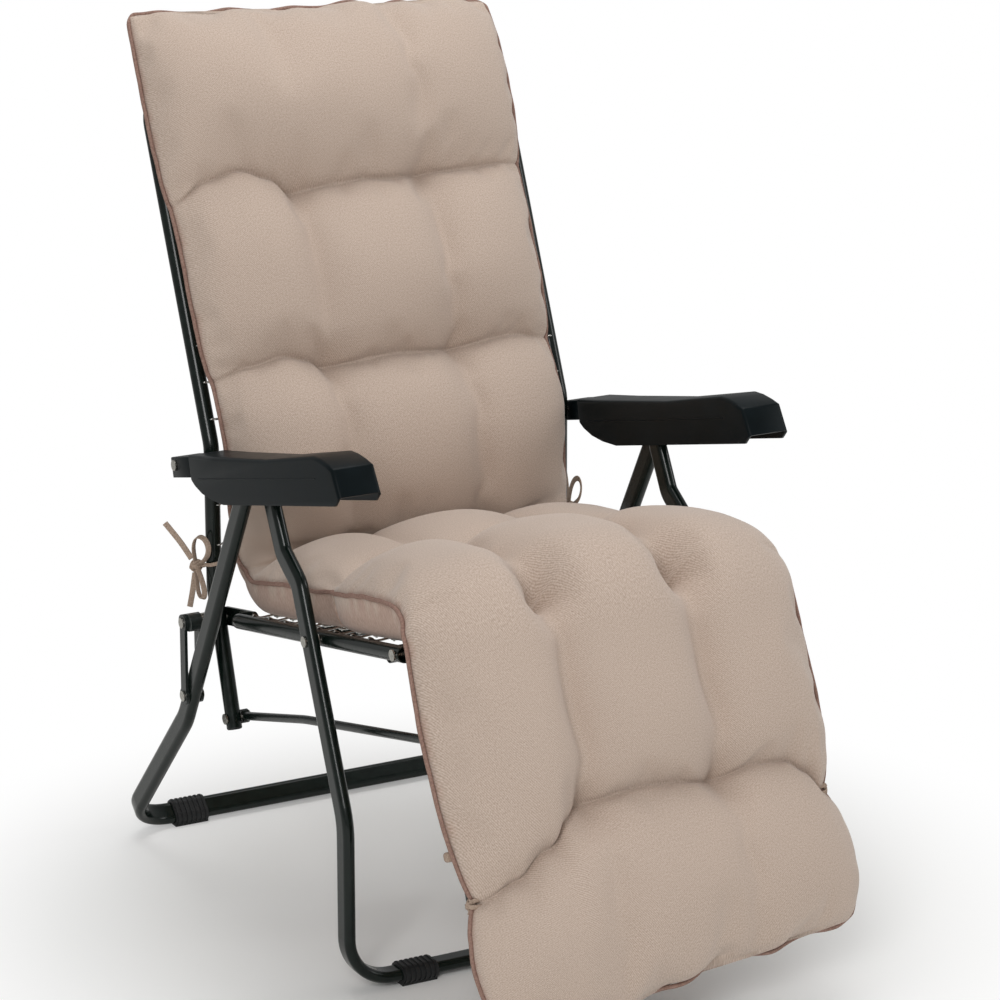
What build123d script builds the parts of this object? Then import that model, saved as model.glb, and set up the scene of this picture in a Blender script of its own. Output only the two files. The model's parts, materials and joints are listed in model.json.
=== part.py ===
from build123d import *

import math
import os

# Reclining garden armchair: tube frame on two U-shaped leg frames, wire nets,
# hollow armrests that slide on the leg-top pins, a footrest driven by push rods,
# and one long padded cushion in three lengths.
# Millimetres, +Z up, the sitter faces -Y. Profile points are (y, z) pairs with y
# counted from the middle of the feet; box_shift moves them onto the part's origin.
os.makedirs("parts", exist_ok=True)

# Tubes
tube_dia = 20.0             # seat rails and back tubes
tube_wall = 1.5
foot_tube_dia = 18.0        # footrest frame
leg_wide = 30.0             # flat-oval leg tube, the long way
leg_thick = 15.0
leg_wall = 1.5
rod_dia = 11.0

# Lanes, counted outwards from the middle plane
rail_x = 254.0              # axes of the seat rails and back tubes
leg_washer = 2.0            # between a seat rail and a front leg
leg_gap = 5.0               # between the front and rear legs, where the rack runs
plate_thick = 4.0
plate_gap = 0.5             # between a link plate and the rear leg
seat_gap = 0.3              # between pieces that only touch
pin_gap = 0.05              # radial, pin in its hole
front_leg_x = rail_x + tube_dia / 2 + leg_washer + leg_thick / 2
rear_leg_x = front_leg_x + leg_thick + leg_gap
inner_plate_x = rear_leg_x - leg_thick / 2 - plate_gap - plate_thick / 2
outer_plate_x = rear_leg_x + leg_thick / 2 + plate_gap + plate_thick / 2

# Legs, in profile
base_depth = 624.0          # between the two floor bars
box_shift = 171.6           # from the middle of the feet to the middle of the whole chair
leg_top_height = 612.0      # of the pin where the legs meet
leg_top_back = 211.0        # of that pin behind the front floor bar
front_bar_height = 13.5
rear_bar_height = 16.5
front_jog_top = 521.0       # heights of the front leg's bends
front_jog_low = 493.0
front_bend_height = 222.0
front_jog_top_back = 162.0  # how far behind the floor bar those bends are
front_jog_low_back = 119.0
rear_bend_height = 228.0
rear_bend_back = 424.0      # of the rear leg's bend behind the front floor bar
leg_corner_radius = 60.0
leg_bend_radius = 90.0
jog_radius = 24.0

# Seat, back and footrest, in profile
seat_pivot_height = 428.5
seat_tilt = 11.5            # degrees, rising to the front
seat_back_reach = 318.0     # from the seat pivot to the back pivot
seat_front_reach = 207.0    # from the seat pivot to the footrest pivot
rail_end_over = 11.0        # rail beyond the footrest pivot
rear_bar_inset = 30.0       # rear bar ahead of the back pivot
rear_bar_dip = 40.0         # how far the rear bar hangs in the middle
rear_bar_dip_x = 125.0
seat_corner_radius = 45.0
front_bar_inset = 32.0      # front bar behind the footrest pivot
front_bar_drop = 4.0        # front bar below the rails' middle plane
link_foot_height = 266.0    # of the links' lower rivets
lever_lean = 17.0           # degrees, of the lever below the back pivot
lever_length = 131.0        # from the back pivot to the push rod
lever_over = 12.0           # lever beyond the push rod
back_post_behind = 11.7     # from the back pivot to the upright part of the back tube
back_bend_height = 590.0
back_lean = 23.1            # degrees, of the back above the armrests
back_top_length = 478.0     # from the bend to the top bar
back_corner_radius = 60.0
back_bend_radius = 40.0
arm_pivot_height = 572.0
foot_lean = 24.4            # degrees, of the footrest from upright
foot_length = 398.0         # from the footrest pivot to its bottom bar
foot_corner_radius = 50.0
rod_drop = 106.0            # of the push rod's front end below the footrest pivot
rod_bow = 6.0
rod_bow_share = 0.35

# Pins and rivets
pin_radius = 4.0
head_radius = 7.0
head_thick = 2.0
bush_radius = 9.0
rack_bush_radius = 6.0

side_signs = {"right": -1, "left": 1}


def unit(angle):
    # Direction in the profile: degrees from +Y towards +Z.
    return Vector(0, math.cos(math.radians(angle)), math.sin(math.radians(angle)))


def at(x, point):
    # A profile point at a distance x from the middle plane.
    return Vector(x, point[0] + box_shift, point[1])


def step(point, angle, along, out=0.0):
    # Moves a profile point along a direction, and out to the padded side of it.
    d = unit(angle)
    n = unit(angle - 90)
    return (point[0] + d.Y * along + n.Y * out, point[1] + d.Z * along + n.Z * out)


def between(a, b, height):
    # The point of the line a to b at a height.
    share = (height - a[1]) / (b[1] - a[1])
    return (a[0] + (b[0] - a[0]) * share, height)


def gap_between(a, b):
    return math.hypot(b[0] - a[0], b[1] - a[1])


def heading(a, b):
    return math.degrees(math.atan2(b[1] - a[1], b[0] - a[0]))


def save(name, solids):
    parts = [s for piece in solids for s in piece.solids()]
    export_step(parts[0] if len(parts) == 1 else Compound(children=parts), f"parts/{name}.step")


def rod_x(x0, x1, point, radius):
    # A round bar across the chair.
    low, high = min(x0, x1), max(x0, x1)
    plane = Plane(origin=at(low, point), x_dir=(0, 1, 0), z_dir=(1, 0, 0))
    return plane * Cylinder(radius, high - low, align=(Align.CENTER, Align.CENTER, Align.MIN))


def ring_x(x0, x1, point, outer, inner):
    return rod_x(x0, x1, point, outer) - rod_x(x0, x1, point, inner)


def both_sides(make):
    return [make(sign) for sign in side_signs.values()]


def round_tube(points, radii, dia, wall):
    path = FilletPolyline(*points, radius=radii) if radii else Line(*points)
    plane = Plane(origin=path @ 0, z_dir=path % 0)
    ring = Circle(dia / 2) - Circle(dia / 2 - wall)
    return sweep(plane * ring, path=path)


# Profile points that several pieces share
front_foot = (-base_depth / 2, front_bar_height)
rear_foot = (base_depth / 2, rear_bar_height)
leg_top = (front_foot[0] + leg_top_back, leg_top_height)
front_jog_a = (front_foot[0] + front_jog_top_back, front_jog_top)
front_jog_b = (front_foot[0] + front_jog_low_back, front_jog_low)
front_bend = (front_foot[0], front_bend_height)
rear_bend = (front_foot[0] + rear_bend_back, rear_bend_height)
seat_pivot = between(front_jog_b, front_bend, seat_pivot_height)
link_foot = between(leg_top, rear_bend, link_foot_height)
seat_dir = 180 - seat_tilt
back_pivot = step(seat_pivot, seat_dir, -seat_back_reach)
back_post_y = back_pivot[0] + back_post_behind
foot_pivot = step(seat_pivot, seat_dir, seat_front_reach)
foot_dir = 270 - foot_lean
lever_dir = 270 - lever_lean
rod_rear = step(back_pivot, lever_dir, lever_length)
rod_front = step(foot_pivot, foot_dir, rod_drop)
lever_end = step(back_pivot, lever_dir, lever_length + lever_over)
lever_bend = step(back_pivot, lever_dir, -back_post_behind / math.sin(math.radians(lever_lean)))
back_bend = (back_post_y, back_bend_height)
back_top = step(back_bend, 90 - back_lean, back_top_length)
arm_pivot = (back_post_y, arm_pivot_height)


# Leg frames: one flat-oval tube each, bent into a U, with a flattened round end
# on each leg top for the pin.
def leg_frame(x, profile, bends):
    near = [at(-x, p) for p in profile]
    far = [at(x, p) for p in reversed(profile)]
    path = FilletPolyline(*near, *far, radius=bends + list(reversed(bends)))
    plane = Plane(origin=path @ 0, x_dir=(path % 0).cross(Vector(1, 0, 0)), z_dir=path % 0)
    oval = SlotOverall(leg_wide, leg_thick)
    bore = SlotOverall(leg_wide - 2 * leg_wall, leg_thick - 2 * leg_wall)
    frame = sweep(plane * (oval - bore), path=path)
    for sign in side_signs.values():
        frame += rod_x(sign * (x - leg_thick / 2), sign * (x + leg_thick / 2), leg_top, leg_wide / 2)
    return frame


def leg_pin_bores():
    return [
        rod_x(s * (front_leg_x - leg_thick), s * (rear_leg_x + leg_thick), leg_top, pin_radius + pin_gap)
        for s in side_signs.values()
    ]


front_legs = leg_frame(
    front_leg_x,
    [leg_top, front_jog_a, front_jog_b, front_bend, front_foot],
    [jog_radius, jog_radius, leg_bend_radius, leg_corner_radius],
)
rear_legs = leg_frame(rear_leg_x, [leg_top, rear_bend, rear_foot], [leg_bend_radius, leg_corner_radius])
for bore in leg_pin_bores():
    front_legs -= bore
    rear_legs -= bore
for sign in side_signs.values():
    front_legs -= rod_x(sign * (front_leg_x - leg_thick), sign * (front_leg_x + leg_thick), seat_pivot,
                        pin_radius + pin_gap)
    rear_legs -= rod_x(sign * (rear_leg_x - leg_thick), sign * (rear_leg_x + leg_thick), link_foot,
                       pin_radius + pin_gap)
save("front_leg_frame", [front_legs])
save("rear_leg_frame", [rear_legs])

# Leg-top pins with their heads, and the spacer bushes that the arm racks ride on
pin_head_gap = 0.3
leg_pin_in = front_leg_x - leg_thick / 2 - pin_head_gap
leg_pin_out = rear_leg_x + leg_thick / 2 + pin_head_gap


def leg_top_pin(sign):
    pin = rod_x(sign * leg_pin_in, sign * leg_pin_out, leg_top, pin_radius)
    pin += rod_x(sign * (leg_pin_in - head_thick), sign * leg_pin_in, leg_top, head_radius)
    pin += rod_x(sign * leg_pin_out, sign * (leg_pin_out + head_thick), leg_top, head_radius)
    return pin


def leg_top_bush(sign):
    x0 = front_leg_x + leg_thick / 2 + seat_gap
    x1 = rear_leg_x - leg_thick / 2 - seat_gap
    return ring_x(sign * x0, sign * x1, leg_top, rack_bush_radius, pin_radius + pin_gap)


save("leg_top_pins", both_sides(leg_top_pin))
save("leg_top_bushes", both_sides(leg_top_bush))

# Feet: ribbed plastic sleeves on the floor bars, flat underneath
foot_wall = 3.0
foot_length_x = 48.0
foot_pad_wide = 26.0
foot_rib_rise = 1.2
foot_rib_wide = 2.2
foot_rib_count = 7
front_foot_x = 180.0
rear_foot_x = 206.0


def foot_sleeve(sign, point, middle_x, tilt):
    # The floor bar's oval is turned with its leg, so the sleeve's bore is too.
    plane = Plane(origin=at(sign * middle_x - foot_length_x / 2, point), x_dir=(0, 1, 0), z_dir=(1, 0, 0))
    turned = Rot(0, 0, tilt)

    def block(grow, length):
        oval = turned * SlotOverall(leg_wide + 2 * grow, leg_thick + 2 * grow)
        outline = oval + Pos(0, -point[1] / 2) * Rectangle(foot_pad_wide, point[1])
        floor_cut = Pos(0, -point[1] - leg_wide / 2) * Rectangle(leg_wide * 2, leg_wide)
        return extrude(outline - floor_cut, length)

    sleeve = block(foot_wall, foot_length_x)
    pitch = foot_length_x / foot_rib_count
    for i in range(foot_rib_count):
        offset = (i + 0.5) * pitch - foot_rib_wide / 2
        sleeve += Pos(0, 0, offset) * block(foot_wall + foot_rib_rise, foot_rib_wide)
    bar = extrude(turned * SlotOverall(leg_wide + 2 * pin_gap, leg_thick + 2 * pin_gap), foot_length_x)
    return plane * (sleeve - bar)


front_tilt = heading(front_bend, front_foot) + 90
rear_tilt = heading(rear_bend, rear_foot) + 90
for name, sign in side_signs.items():
    save(f"front_foot_{name}", [foot_sleeve(sign, front_foot, front_foot_x, front_tilt)])
    save(f"rear_foot_{name}", [foot_sleeve(sign, rear_foot, rear_foot_x, rear_tilt)])

# Seat frame: rails and a drooping rear bar in one bent tube, with welded pivot brackets
bracket_thick = 3.9
bracket_wide = 24.0
rail_front = step(foot_pivot, seat_dir, rail_end_over)
rear_bar = step(back_pivot, seat_dir, rear_bar_inset)
rear_dip = step(rear_bar, seat_dir, 0, -rear_bar_dip)
seat_tube = round_tube(
    [at(-rail_x, rail_front), at(-rail_x, rear_bar), at(-rear_bar_dip_x, rear_dip),
     at(rear_bar_dip_x, rear_dip), at(rail_x, rear_bar), at(rail_x, rail_front)],
    [seat_corner_radius, seat_corner_radius, seat_corner_radius, seat_corner_radius],
    tube_dia, tube_wall,
)
bracket_in = rail_x - tube_dia / 2 - seat_gap - bracket_thick
seat_weld_inset = seat_corner_radius + 2 * tube_dia


def plate_between(x0, x1, a, b, radius):
    # A flat link with round ends, across from a to b.
    low = min(x0, x1)
    plane = Plane(origin=at(low, a), x_dir=unit(heading(a, b)), z_dir=(1, 0, 0))
    length = gap_between(a, b)
    outline = Circle(radius) + Pos(length, 0) * Circle(radius)
    outline += Pos(length / 2, 0) * Rectangle(length, 2 * radius)
    return plane * extrude(outline, abs(x1 - x0))


def seat_bracket(sign):
    # Welded to the inner side of the rail, it reaches back past the lever to the pivot.
    weld = step(back_pivot, seat_dir, seat_weld_inset)
    weld_end = step(weld, seat_dir, -tube_dia)
    plate = plate_between(sign * bracket_in, sign * (bracket_in + bracket_thick), back_pivot, weld, bracket_wide / 2)
    plate += plate_between(sign * bracket_in, sign * (rail_x - tube_dia / 2 + tube_wall), weld, weld_end, tube_dia / 4)
    return plate


seat_frame = seat_tube
for sign in side_signs.values():
    seat_frame += seat_bracket(sign)
    outside = sign * (rail_x + tube_dia)
    seat_frame -= rod_x(0, outside, back_pivot, pin_radius + pin_gap)
    seat_frame -= rod_x(0, outside, seat_pivot, pin_radius + pin_gap)
    seat_frame -= rod_x(sign * (rail_x - tube_dia), outside, foot_pivot, pin_radius + pin_gap)
save("seat_frame", [seat_frame])

front_bar = step(foot_pivot, seat_dir, -front_bar_inset, -front_bar_drop)
front_bar_tube = ring_x(-rail_x, rail_x, front_bar, tube_dia / 2, tube_dia / 2 - tube_wall)
for sign in side_signs.values():
    # The ends are hollowed to fit round the rails.
    rail_line = Plane(origin=at(sign * rail_x, rail_front), z_dir=unit(seat_dir + 180))
    align = (Align.CENTER, Align.CENTER, Align.MIN)
    front_bar_tube -= rail_line * Cylinder(tube_dia / 2, rail_end_over + front_bar_inset + tube_dia, align=align)
save("seat_front_bar", [front_bar_tube])


# Rivets: a shaft with a head at each end. A head of zero thickness is left off.
def rivet(sign, x0, x1, point, head_in, head_out):
    shaft = rod_x(sign * x0, sign * x1, point, pin_radius)
    if head_in:
        shaft += rod_x(sign * (x0 - head_in), sign * x0, point, head_radius)
    if head_out:
        shaft += rod_x(sign * x1, sign * (x1 + head_out), point, head_radius)
    return shaft


def seat_pivot_rivet(sign):
    x0 = rail_x - tube_dia / 2 - seat_gap
    x1 = front_leg_x + leg_thick / 2 + seat_gap
    return rivet(sign, x0, x1, seat_pivot, head_thick, head_thick)


def seat_pivot_washer(sign):
    x0 = rail_x + tube_dia / 2 + seat_gap
    x1 = front_leg_x - leg_thick / 2 - seat_gap
    return ring_x(sign * x0, sign * x1, seat_pivot, bush_radius, pin_radius + pin_gap)


def back_pivot_pin(sign):
    x0 = bracket_in - seat_gap
    x1 = inner_plate_x - plate_thick / 2 - seat_gap
    return rivet(sign, x0, x1, back_pivot, head_thick, 0)


def back_pivot_bush(sign):
    x0 = rail_x + tube_dia / 2 + seat_gap
    x1 = inner_plate_x - plate_thick / 2 - seat_gap
    return ring_x(sign * x0, sign * x1, back_pivot, bush_radius, pin_radius + pin_gap)


save("seat_pivot_rivets", both_sides(seat_pivot_rivet))
save("seat_pivot_washers", both_sides(seat_pivot_washer))
save("back_pivot_pins", both_sides(back_pivot_pin))
save("back_pivot_bushes", both_sides(back_pivot_bush))

# Links: a plate on each side of the rear leg, a spacer block between their tops
link_end_radius = 11.0
link_neck_wide = 15.0


def link_plate(sign, middle_x):
    x0 = sign * (middle_x - plate_thick / 2)
    x1 = sign * (middle_x + plate_thick / 2)
    plate = plate_between(x0, x1, link_foot, back_pivot, link_neck_wide / 2)
    for p in (link_foot, back_pivot):
        plate += rod_x(x0, x1, p, link_end_radius)
    for p in (link_foot, back_pivot):
        plate -= rod_x(x0, x1, p, pin_radius + pin_gap)
    return plate


def link_spacer(sign):
    x0 = sign * (inner_plate_x + plate_thick / 2)
    x1 = sign * (outer_plate_x - plate_thick / 2)
    block = plate_between(x0, x1, back_pivot, step(back_pivot, seat_dir, link_end_radius), link_end_radius)
    return block - rod_x(x0, x1, back_pivot, pin_radius + pin_gap)


def link_top_rivet(sign):
    x0 = inner_plate_x - plate_thick / 2
    x1 = outer_plate_x + plate_thick / 2
    return rivet(sign, x0, x1, back_pivot, 0, head_thick)


def link_foot_rivet(sign):
    x0 = inner_plate_x - plate_thick / 2 - seat_gap
    x1 = outer_plate_x + plate_thick / 2 + seat_gap
    return rivet(sign, x0, x1, link_foot, head_thick, head_thick)


for name, sign in side_signs.items():
    save(f"link_plate_inner_{name}", [link_plate(sign, inner_plate_x)])
    save(f"link_plate_outer_{name}", [link_plate(sign, outer_plate_x)])
save("link_spacers", both_sides(link_spacer))
save("link_top_rivets", both_sides(link_top_rivet))
save("link_foot_rivets", both_sides(link_foot_rivet))

# Back frame: one bent tube, lever to lever, over the head
back_tube = round_tube(
    [at(-rail_x, lever_end), at(-rail_x, lever_bend), at(-rail_x, back_bend), at(-rail_x, back_top),
     at(rail_x, back_top), at(rail_x, back_bend), at(rail_x, lever_bend), at(rail_x, lever_end)],
    [back_bend_radius, back_bend_radius, back_corner_radius,
     back_corner_radius, back_bend_radius, back_bend_radius],
    tube_dia, tube_wall,
)
for sign in side_signs.values():
    for p in (back_pivot, rod_rear, arm_pivot):
        back_tube -= rod_x(sign * (rail_x - tube_dia), sign * (rail_x + tube_dia), p, pin_radius + pin_gap)
save("back_frame", [back_tube])

# Round plastic plugs close the lever ends
plug_cap = 3.0
plug_round_share = 0.8      # of the cap's thickness
plug_depth = 6.0


def lever_plug(sign):
    plane = Plane(origin=at(sign * rail_x, lever_end), x_dir=(1, 0, 0), z_dir=unit(lever_dir))
    align = (Align.CENTER, Align.CENTER, Align.MIN)
    cap = Cylinder(tube_dia / 2, plug_cap, align=align)
    cap = fillet(cap.edges().sort_by(Axis.Z)[-1], plug_cap * plug_round_share)
    core = Pos(0, 0, -plug_depth) * Cylinder(tube_dia / 2 - tube_wall - pin_gap, plug_depth, align=align)
    return plane * (cap + core)


save("lever_plugs", both_sides(lever_plug))

# Push rods, inboard of the levers, with flattened eyes
rod_x_mid = rail_x - tube_dia / 2 - seat_gap - rod_dia / 2
eye_radius = 9.0
eye_thick = 9.0
rod_bow_point = (
    rod_rear[0] + (rod_front[0] - rod_rear[0]) * rod_bow_share,
    rod_rear[1] + (rod_front[1] - rod_rear[1]) * rod_bow_share + rod_bow,
)
rod_bow_radius = 600.0


def push_rod(sign):
    x = sign * rod_x_mid
    points = [at(x, rod_rear), at(x, rod_bow_point), at(x, rod_front)]
    path = FilletPolyline(*points, radius=rod_bow_radius)
    rod = sweep(Plane(origin=path @ 0, z_dir=path % 0) * Circle(rod_dia / 2), path=path)
    for p in (rod_rear, rod_front):
        low, high = x - eye_thick / 2, x + eye_thick / 2
        rod += rod_x(low, high, p, eye_radius)
        for away in (high, low - eye_radius):
            rod -= rod_x(away, away + eye_radius, p, eye_radius + pin_gap)
        rod -= rod_x(low - eye_radius, high + eye_radius, p, pin_radius + pin_gap)
    return rod


for name, sign in side_signs.items():
    save(f"push_rod_{name}", [push_rod(sign)])


def rod_rear_rivet(sign):
    x0 = rod_x_mid - eye_thick / 2 - seat_gap
    x1 = rail_x + tube_dia / 2 + seat_gap
    return rivet(sign, x0, x1, rod_rear, head_thick, head_thick)


def rod_front_rivet(sign):
    x0 = rod_x_mid - eye_thick / 2
    x1 = rod_x_mid + eye_thick / 2 + seat_gap
    return rivet(sign, x0, x1, rod_front, 0, head_thick)


save("rod_rear_rivets", both_sides(rod_rear_rivet))
save("rod_front_rivets", both_sides(rod_front_rivet))

# Footrest frame: a U of thinner tube between the push rods
foot_x = rod_x_mid - rod_dia / 2 - seat_gap - foot_tube_dia / 2
foot_bottom = step(foot_pivot, foot_dir, foot_length)
foot_frame = round_tube(
    [at(-foot_x, foot_pivot), at(-foot_x, foot_bottom), at(foot_x, foot_bottom), at(foot_x, foot_pivot)],
    [foot_corner_radius, foot_corner_radius],
    foot_tube_dia, tube_wall,
)
for sign in side_signs.values():
    # The tube ends are pressed into round eyes for the pivot pins.
    eye_in = sign * (foot_x - foot_tube_dia / 2)
    eye_out = sign * (foot_x + foot_tube_dia / 2)
    foot_frame += rod_x(eye_in, eye_out, foot_pivot, foot_tube_dia / 2)
    for p in (foot_pivot, rod_front):
        outside = sign * (foot_x + foot_tube_dia)
        foot_frame -= rod_x(sign * (foot_x - foot_tube_dia), outside, p, pin_radius + pin_gap)
save("footrest_frame", [foot_frame])


def foot_pivot_pin(sign):
    x0 = foot_x - foot_tube_dia / 2 - seat_gap
    x1 = rail_x + tube_dia / 2 + seat_gap
    return rivet(sign, x0, x1, foot_pivot, head_thick, head_thick)


def foot_pivot_bush(sign):
    x0 = foot_x + foot_tube_dia / 2 + seat_gap
    x1 = rail_x - tube_dia / 2 - seat_gap
    return ring_x(sign * x0, sign * x1, foot_pivot, bush_radius, pin_radius + pin_gap)


def rod_bracket_pin(sign):
    # The footrest's own half of the push rod joint, end to end with the rod's rivet.
    x0 = foot_x - foot_tube_dia / 2
    x1 = foot_x + foot_tube_dia / 2
    return rivet(sign, x0, x1, rod_front, head_thick, 0)


save("footrest_pivot_pins", both_sides(foot_pivot_pin))
save("footrest_pivot_bushes", both_sides(foot_pivot_bush))
save("rod_bracket_pins", both_sides(rod_bracket_pin))

# Wire nets: rings joined by straight wires, hooked on the tubes at each side
net_thick = 3.0
net_wire = 3.0
net_out = 5.0               # net's middle plane, out from the tube axes
foot_net_out = 7.0
net_pitch = 46.0            # from ring to ring, both ways
net_ring_radius = 13.0
net_side_gap = 10.0         # from the outermost rings' pitch to the tubes
net_bend_gap = 12.0         # from the nets to the bend of the back
foot_net_gap = 24.0         # from the footrest's pivot to its net


def chord(radius, out):
    # Half width of a round tube where the net's nearer face passes it.
    return math.sqrt(radius ** 2 - (abs(out) - net_thick / 2) ** 2)


def grid(shape, places_x, places_y):
    # Copies of a flat shape at every crossing of two lists of places.
    total = Sketch()
    for x in places_x:
        for y in places_y:
            total += Pos(x, y) * shape
    return total


def spread(count, pitch, first):
    return [first + pitch * i for i in range(count)]


def net(start, direction, length, tube_x, tube_radius, corner_radius, out, end_reach, heads):
    # Rows run across from tube to tube, columns along the net, and on to a bar at its end.
    # It lies on the padded side of the tubes where it runs down or forward, and a negative
    # out puts it there where it runs up. Rows that meet a rivet's head stop at their rings.
    origin = at(0, step(start, direction, 0, out - net_thick / 2))
    plane = Plane(origin=origin, x_dir=unit(direction), z_dir=unit(direction - 90))
    reach = tube_x - chord(tube_radius, out) - seat_gap
    side = tube_x - tube_radius - net_side_gap
    rows = max(1, round(length / net_pitch))
    columns = max(1, round(2 * side / net_pitch))
    pitch_x = length / rows
    pitch_y = 2 * side / columns
    row_places = spread(rows, pitch_x, pitch_x / 2)
    column_places = spread(columns, pitch_y, pitch_y / 2 - side)
    # The outermost column meets the bar where its corner has begun.
    into_corner = max(0.0, column_places[-1] + net_wire - (tube_x - corner_radius))
    sag = corner_radius - math.sqrt(corner_radius ** 2 - into_corner ** 2)
    column_end = max(row_places[-1], end_reach - sag)
    column_wire = Rectangle(column_end - row_places[0], net_wire)
    sheet = grid(column_wire, [(column_end + row_places[0]) / 2], column_places)
    for place in row_places:
        met = [head for head in heads if abs(place - head) < head_radius + net_wire]
        sheet += Pos(place, 0) * Rectangle(net_wire, 2 * (column_places[-1] if met else reach))
    sheet += grid(Circle(net_ring_radius), row_places, column_places)
    sheet -= grid(Circle(net_ring_radius - net_wire), row_places, column_places)
    return plane * extrude(sheet, net_thick)


# The seat's net starts ahead of the welded brackets.
seat_net_inset = seat_weld_inset + bracket_wide / 2 + net_side_gap - net_pitch / 2
seat_net_start = step(back_pivot, seat_dir, seat_net_inset)
seat_bar_place = seat_back_reach + seat_front_reach - front_bar_inset - seat_net_inset
seat_net_length = seat_bar_place - tube_dia / 2
seat_net_end = seat_bar_place - chord(tube_dia / 2, net_out + front_bar_drop) - seat_gap
seat_net = net(seat_net_start, seat_dir, seat_net_length, rail_x, tube_dia / 2, seat_corner_radius, net_out,
               seat_net_end, [seat_back_reach - seat_net_inset])
save("seat_net", [seat_net])

lumbar_net_length = 138.0
lumbar_start = (back_post_y, back_bend_height - net_bend_gap)
lumbar_net = net(lumbar_start, 270, lumbar_net_length, rail_x, tube_dia / 2, back_corner_radius, net_out, 0,
                 [lumbar_start[1] - arm_pivot_height])
save("back_net_lower", [lumbar_net])

lean_dir = 90 - back_lean
back_net_start = step(back_bend, lean_dir, net_bend_gap)
back_net_length = back_top_length - back_corner_radius - net_bend_gap
back_net_end = back_top_length - net_bend_gap - chord(tube_dia / 2, net_out) - seat_gap
back_net = net(back_net_start, lean_dir, back_net_length, rail_x, tube_dia / 2, back_corner_radius, -net_out,
               back_net_end, [])
save("back_net_upper", [back_net])

foot_net_start = step(foot_pivot, foot_dir, foot_net_gap)
foot_net_length = foot_length - foot_corner_radius - foot_net_gap
foot_net_end = foot_length - foot_net_gap - chord(foot_tube_dia / 2, foot_net_out) - seat_gap
foot_net = net(foot_net_start, foot_dir, foot_net_length, foot_x, foot_tube_dia / 2, foot_corner_radius,
               foot_net_out, foot_net_end, [rod_drop - foot_net_gap])
save("footrest_net", [foot_net])

# Armrests: hollow moulded shells, open underneath, with a lug riveted to the back tube.
# Their outline is drawn as (along the armrest, above the line through its pivot).
arm_wall = 3.0
arm_outer_gap = 4.0
arm_inner_gap = 11.0
arm_out_x = rear_leg_x + leg_thick / 2 + arm_outer_gap + arm_wall
arm_in_x = front_leg_x - leg_thick / 2 - arm_inner_gap - arm_wall
arm_rise = 14.5             # degrees, rising to the front
arm_length = 483.0          # from the pivot to the nose
arm_back_start = 50.0       # from the pivot to the shell
arm_top = 10.0
arm_tail_top = 13.0         # of the shell's rear end
arm_depth = 59.5
arm_nose_slope = 62.0       # over which the top comes down to the nose
arm_nose_round = 26.0
arm_nose_round_drop = 9.6
arm_nose_face = 14.0
arm_nose_drop = 16.0
arm_nose_back = 11.2
arm_nose_lip = 9.8
arm_heel_top = 15.0         # of the heel's upper end below the line
arm_heel_length = 95.0      # over which the underside rounds up to the lug
arm_heel_mid_share = 0.33
arm_heel_rise_share = 0.24
arm_ceiling = 4.0           # of the hollow above the line
arm_front_wall = 31.0       # of solid nose ahead of the hollow
arm_edge_round = 5.0
lug_half = 16.5
lug_over = 11.0
lug_gap = 0.5
lug_wall = 6.0
stay_thick = 4.0            # steel strip on the rivet, inside the armrest
stay_wide = 14.0
stay_top = 3.5
stay_reach = 180.0
stay_gap = 1.0              # round the strip where it passes the shell's rear wall
lug_x = rail_x + tube_dia / 2 + lug_gap
stay_x = lug_x + lug_wall + seat_gap
arm_dir = 180 - arm_rise


def arm_outline():
    low = arm_top - arm_depth
    heel_a = (arm_back_start, -arm_heel_top)
    heel_b = (arm_back_start + arm_heel_length * arm_heel_mid_share, low + arm_depth * arm_heel_rise_share)
    heel_c = (arm_back_start + arm_heel_length, low)
    line = Polyline(
        heel_c,
        (arm_length - arm_nose_face, low),
        (arm_length, low + arm_nose_lip),
        (arm_length - arm_nose_back, arm_top - arm_nose_drop),
        (arm_length - arm_nose_round, arm_top - arm_nose_round_drop),
        (arm_length - arm_nose_slope, arm_top),
        (arm_back_start, arm_tail_top),
        heel_a,
    )
    return make_face(line + ThreePointArc(heel_a, heel_b, heel_c))


def arm_plane(x):
    # Local x runs forward along the armrest, local y up from it, local z across.
    return Plane(origin=at(x, arm_pivot), x_dir=unit(arm_dir), z_dir=(-1, 0, 0))


def arm_block(along_a, along_b, low, high, across_a, across_b):
    size = (along_b - along_a, high - low, across_b - across_a)
    middle = ((along_a + along_b) / 2, (low + high) / 2, (across_a + across_b) / 2)
    return Pos(*middle) * Box(*size)


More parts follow.
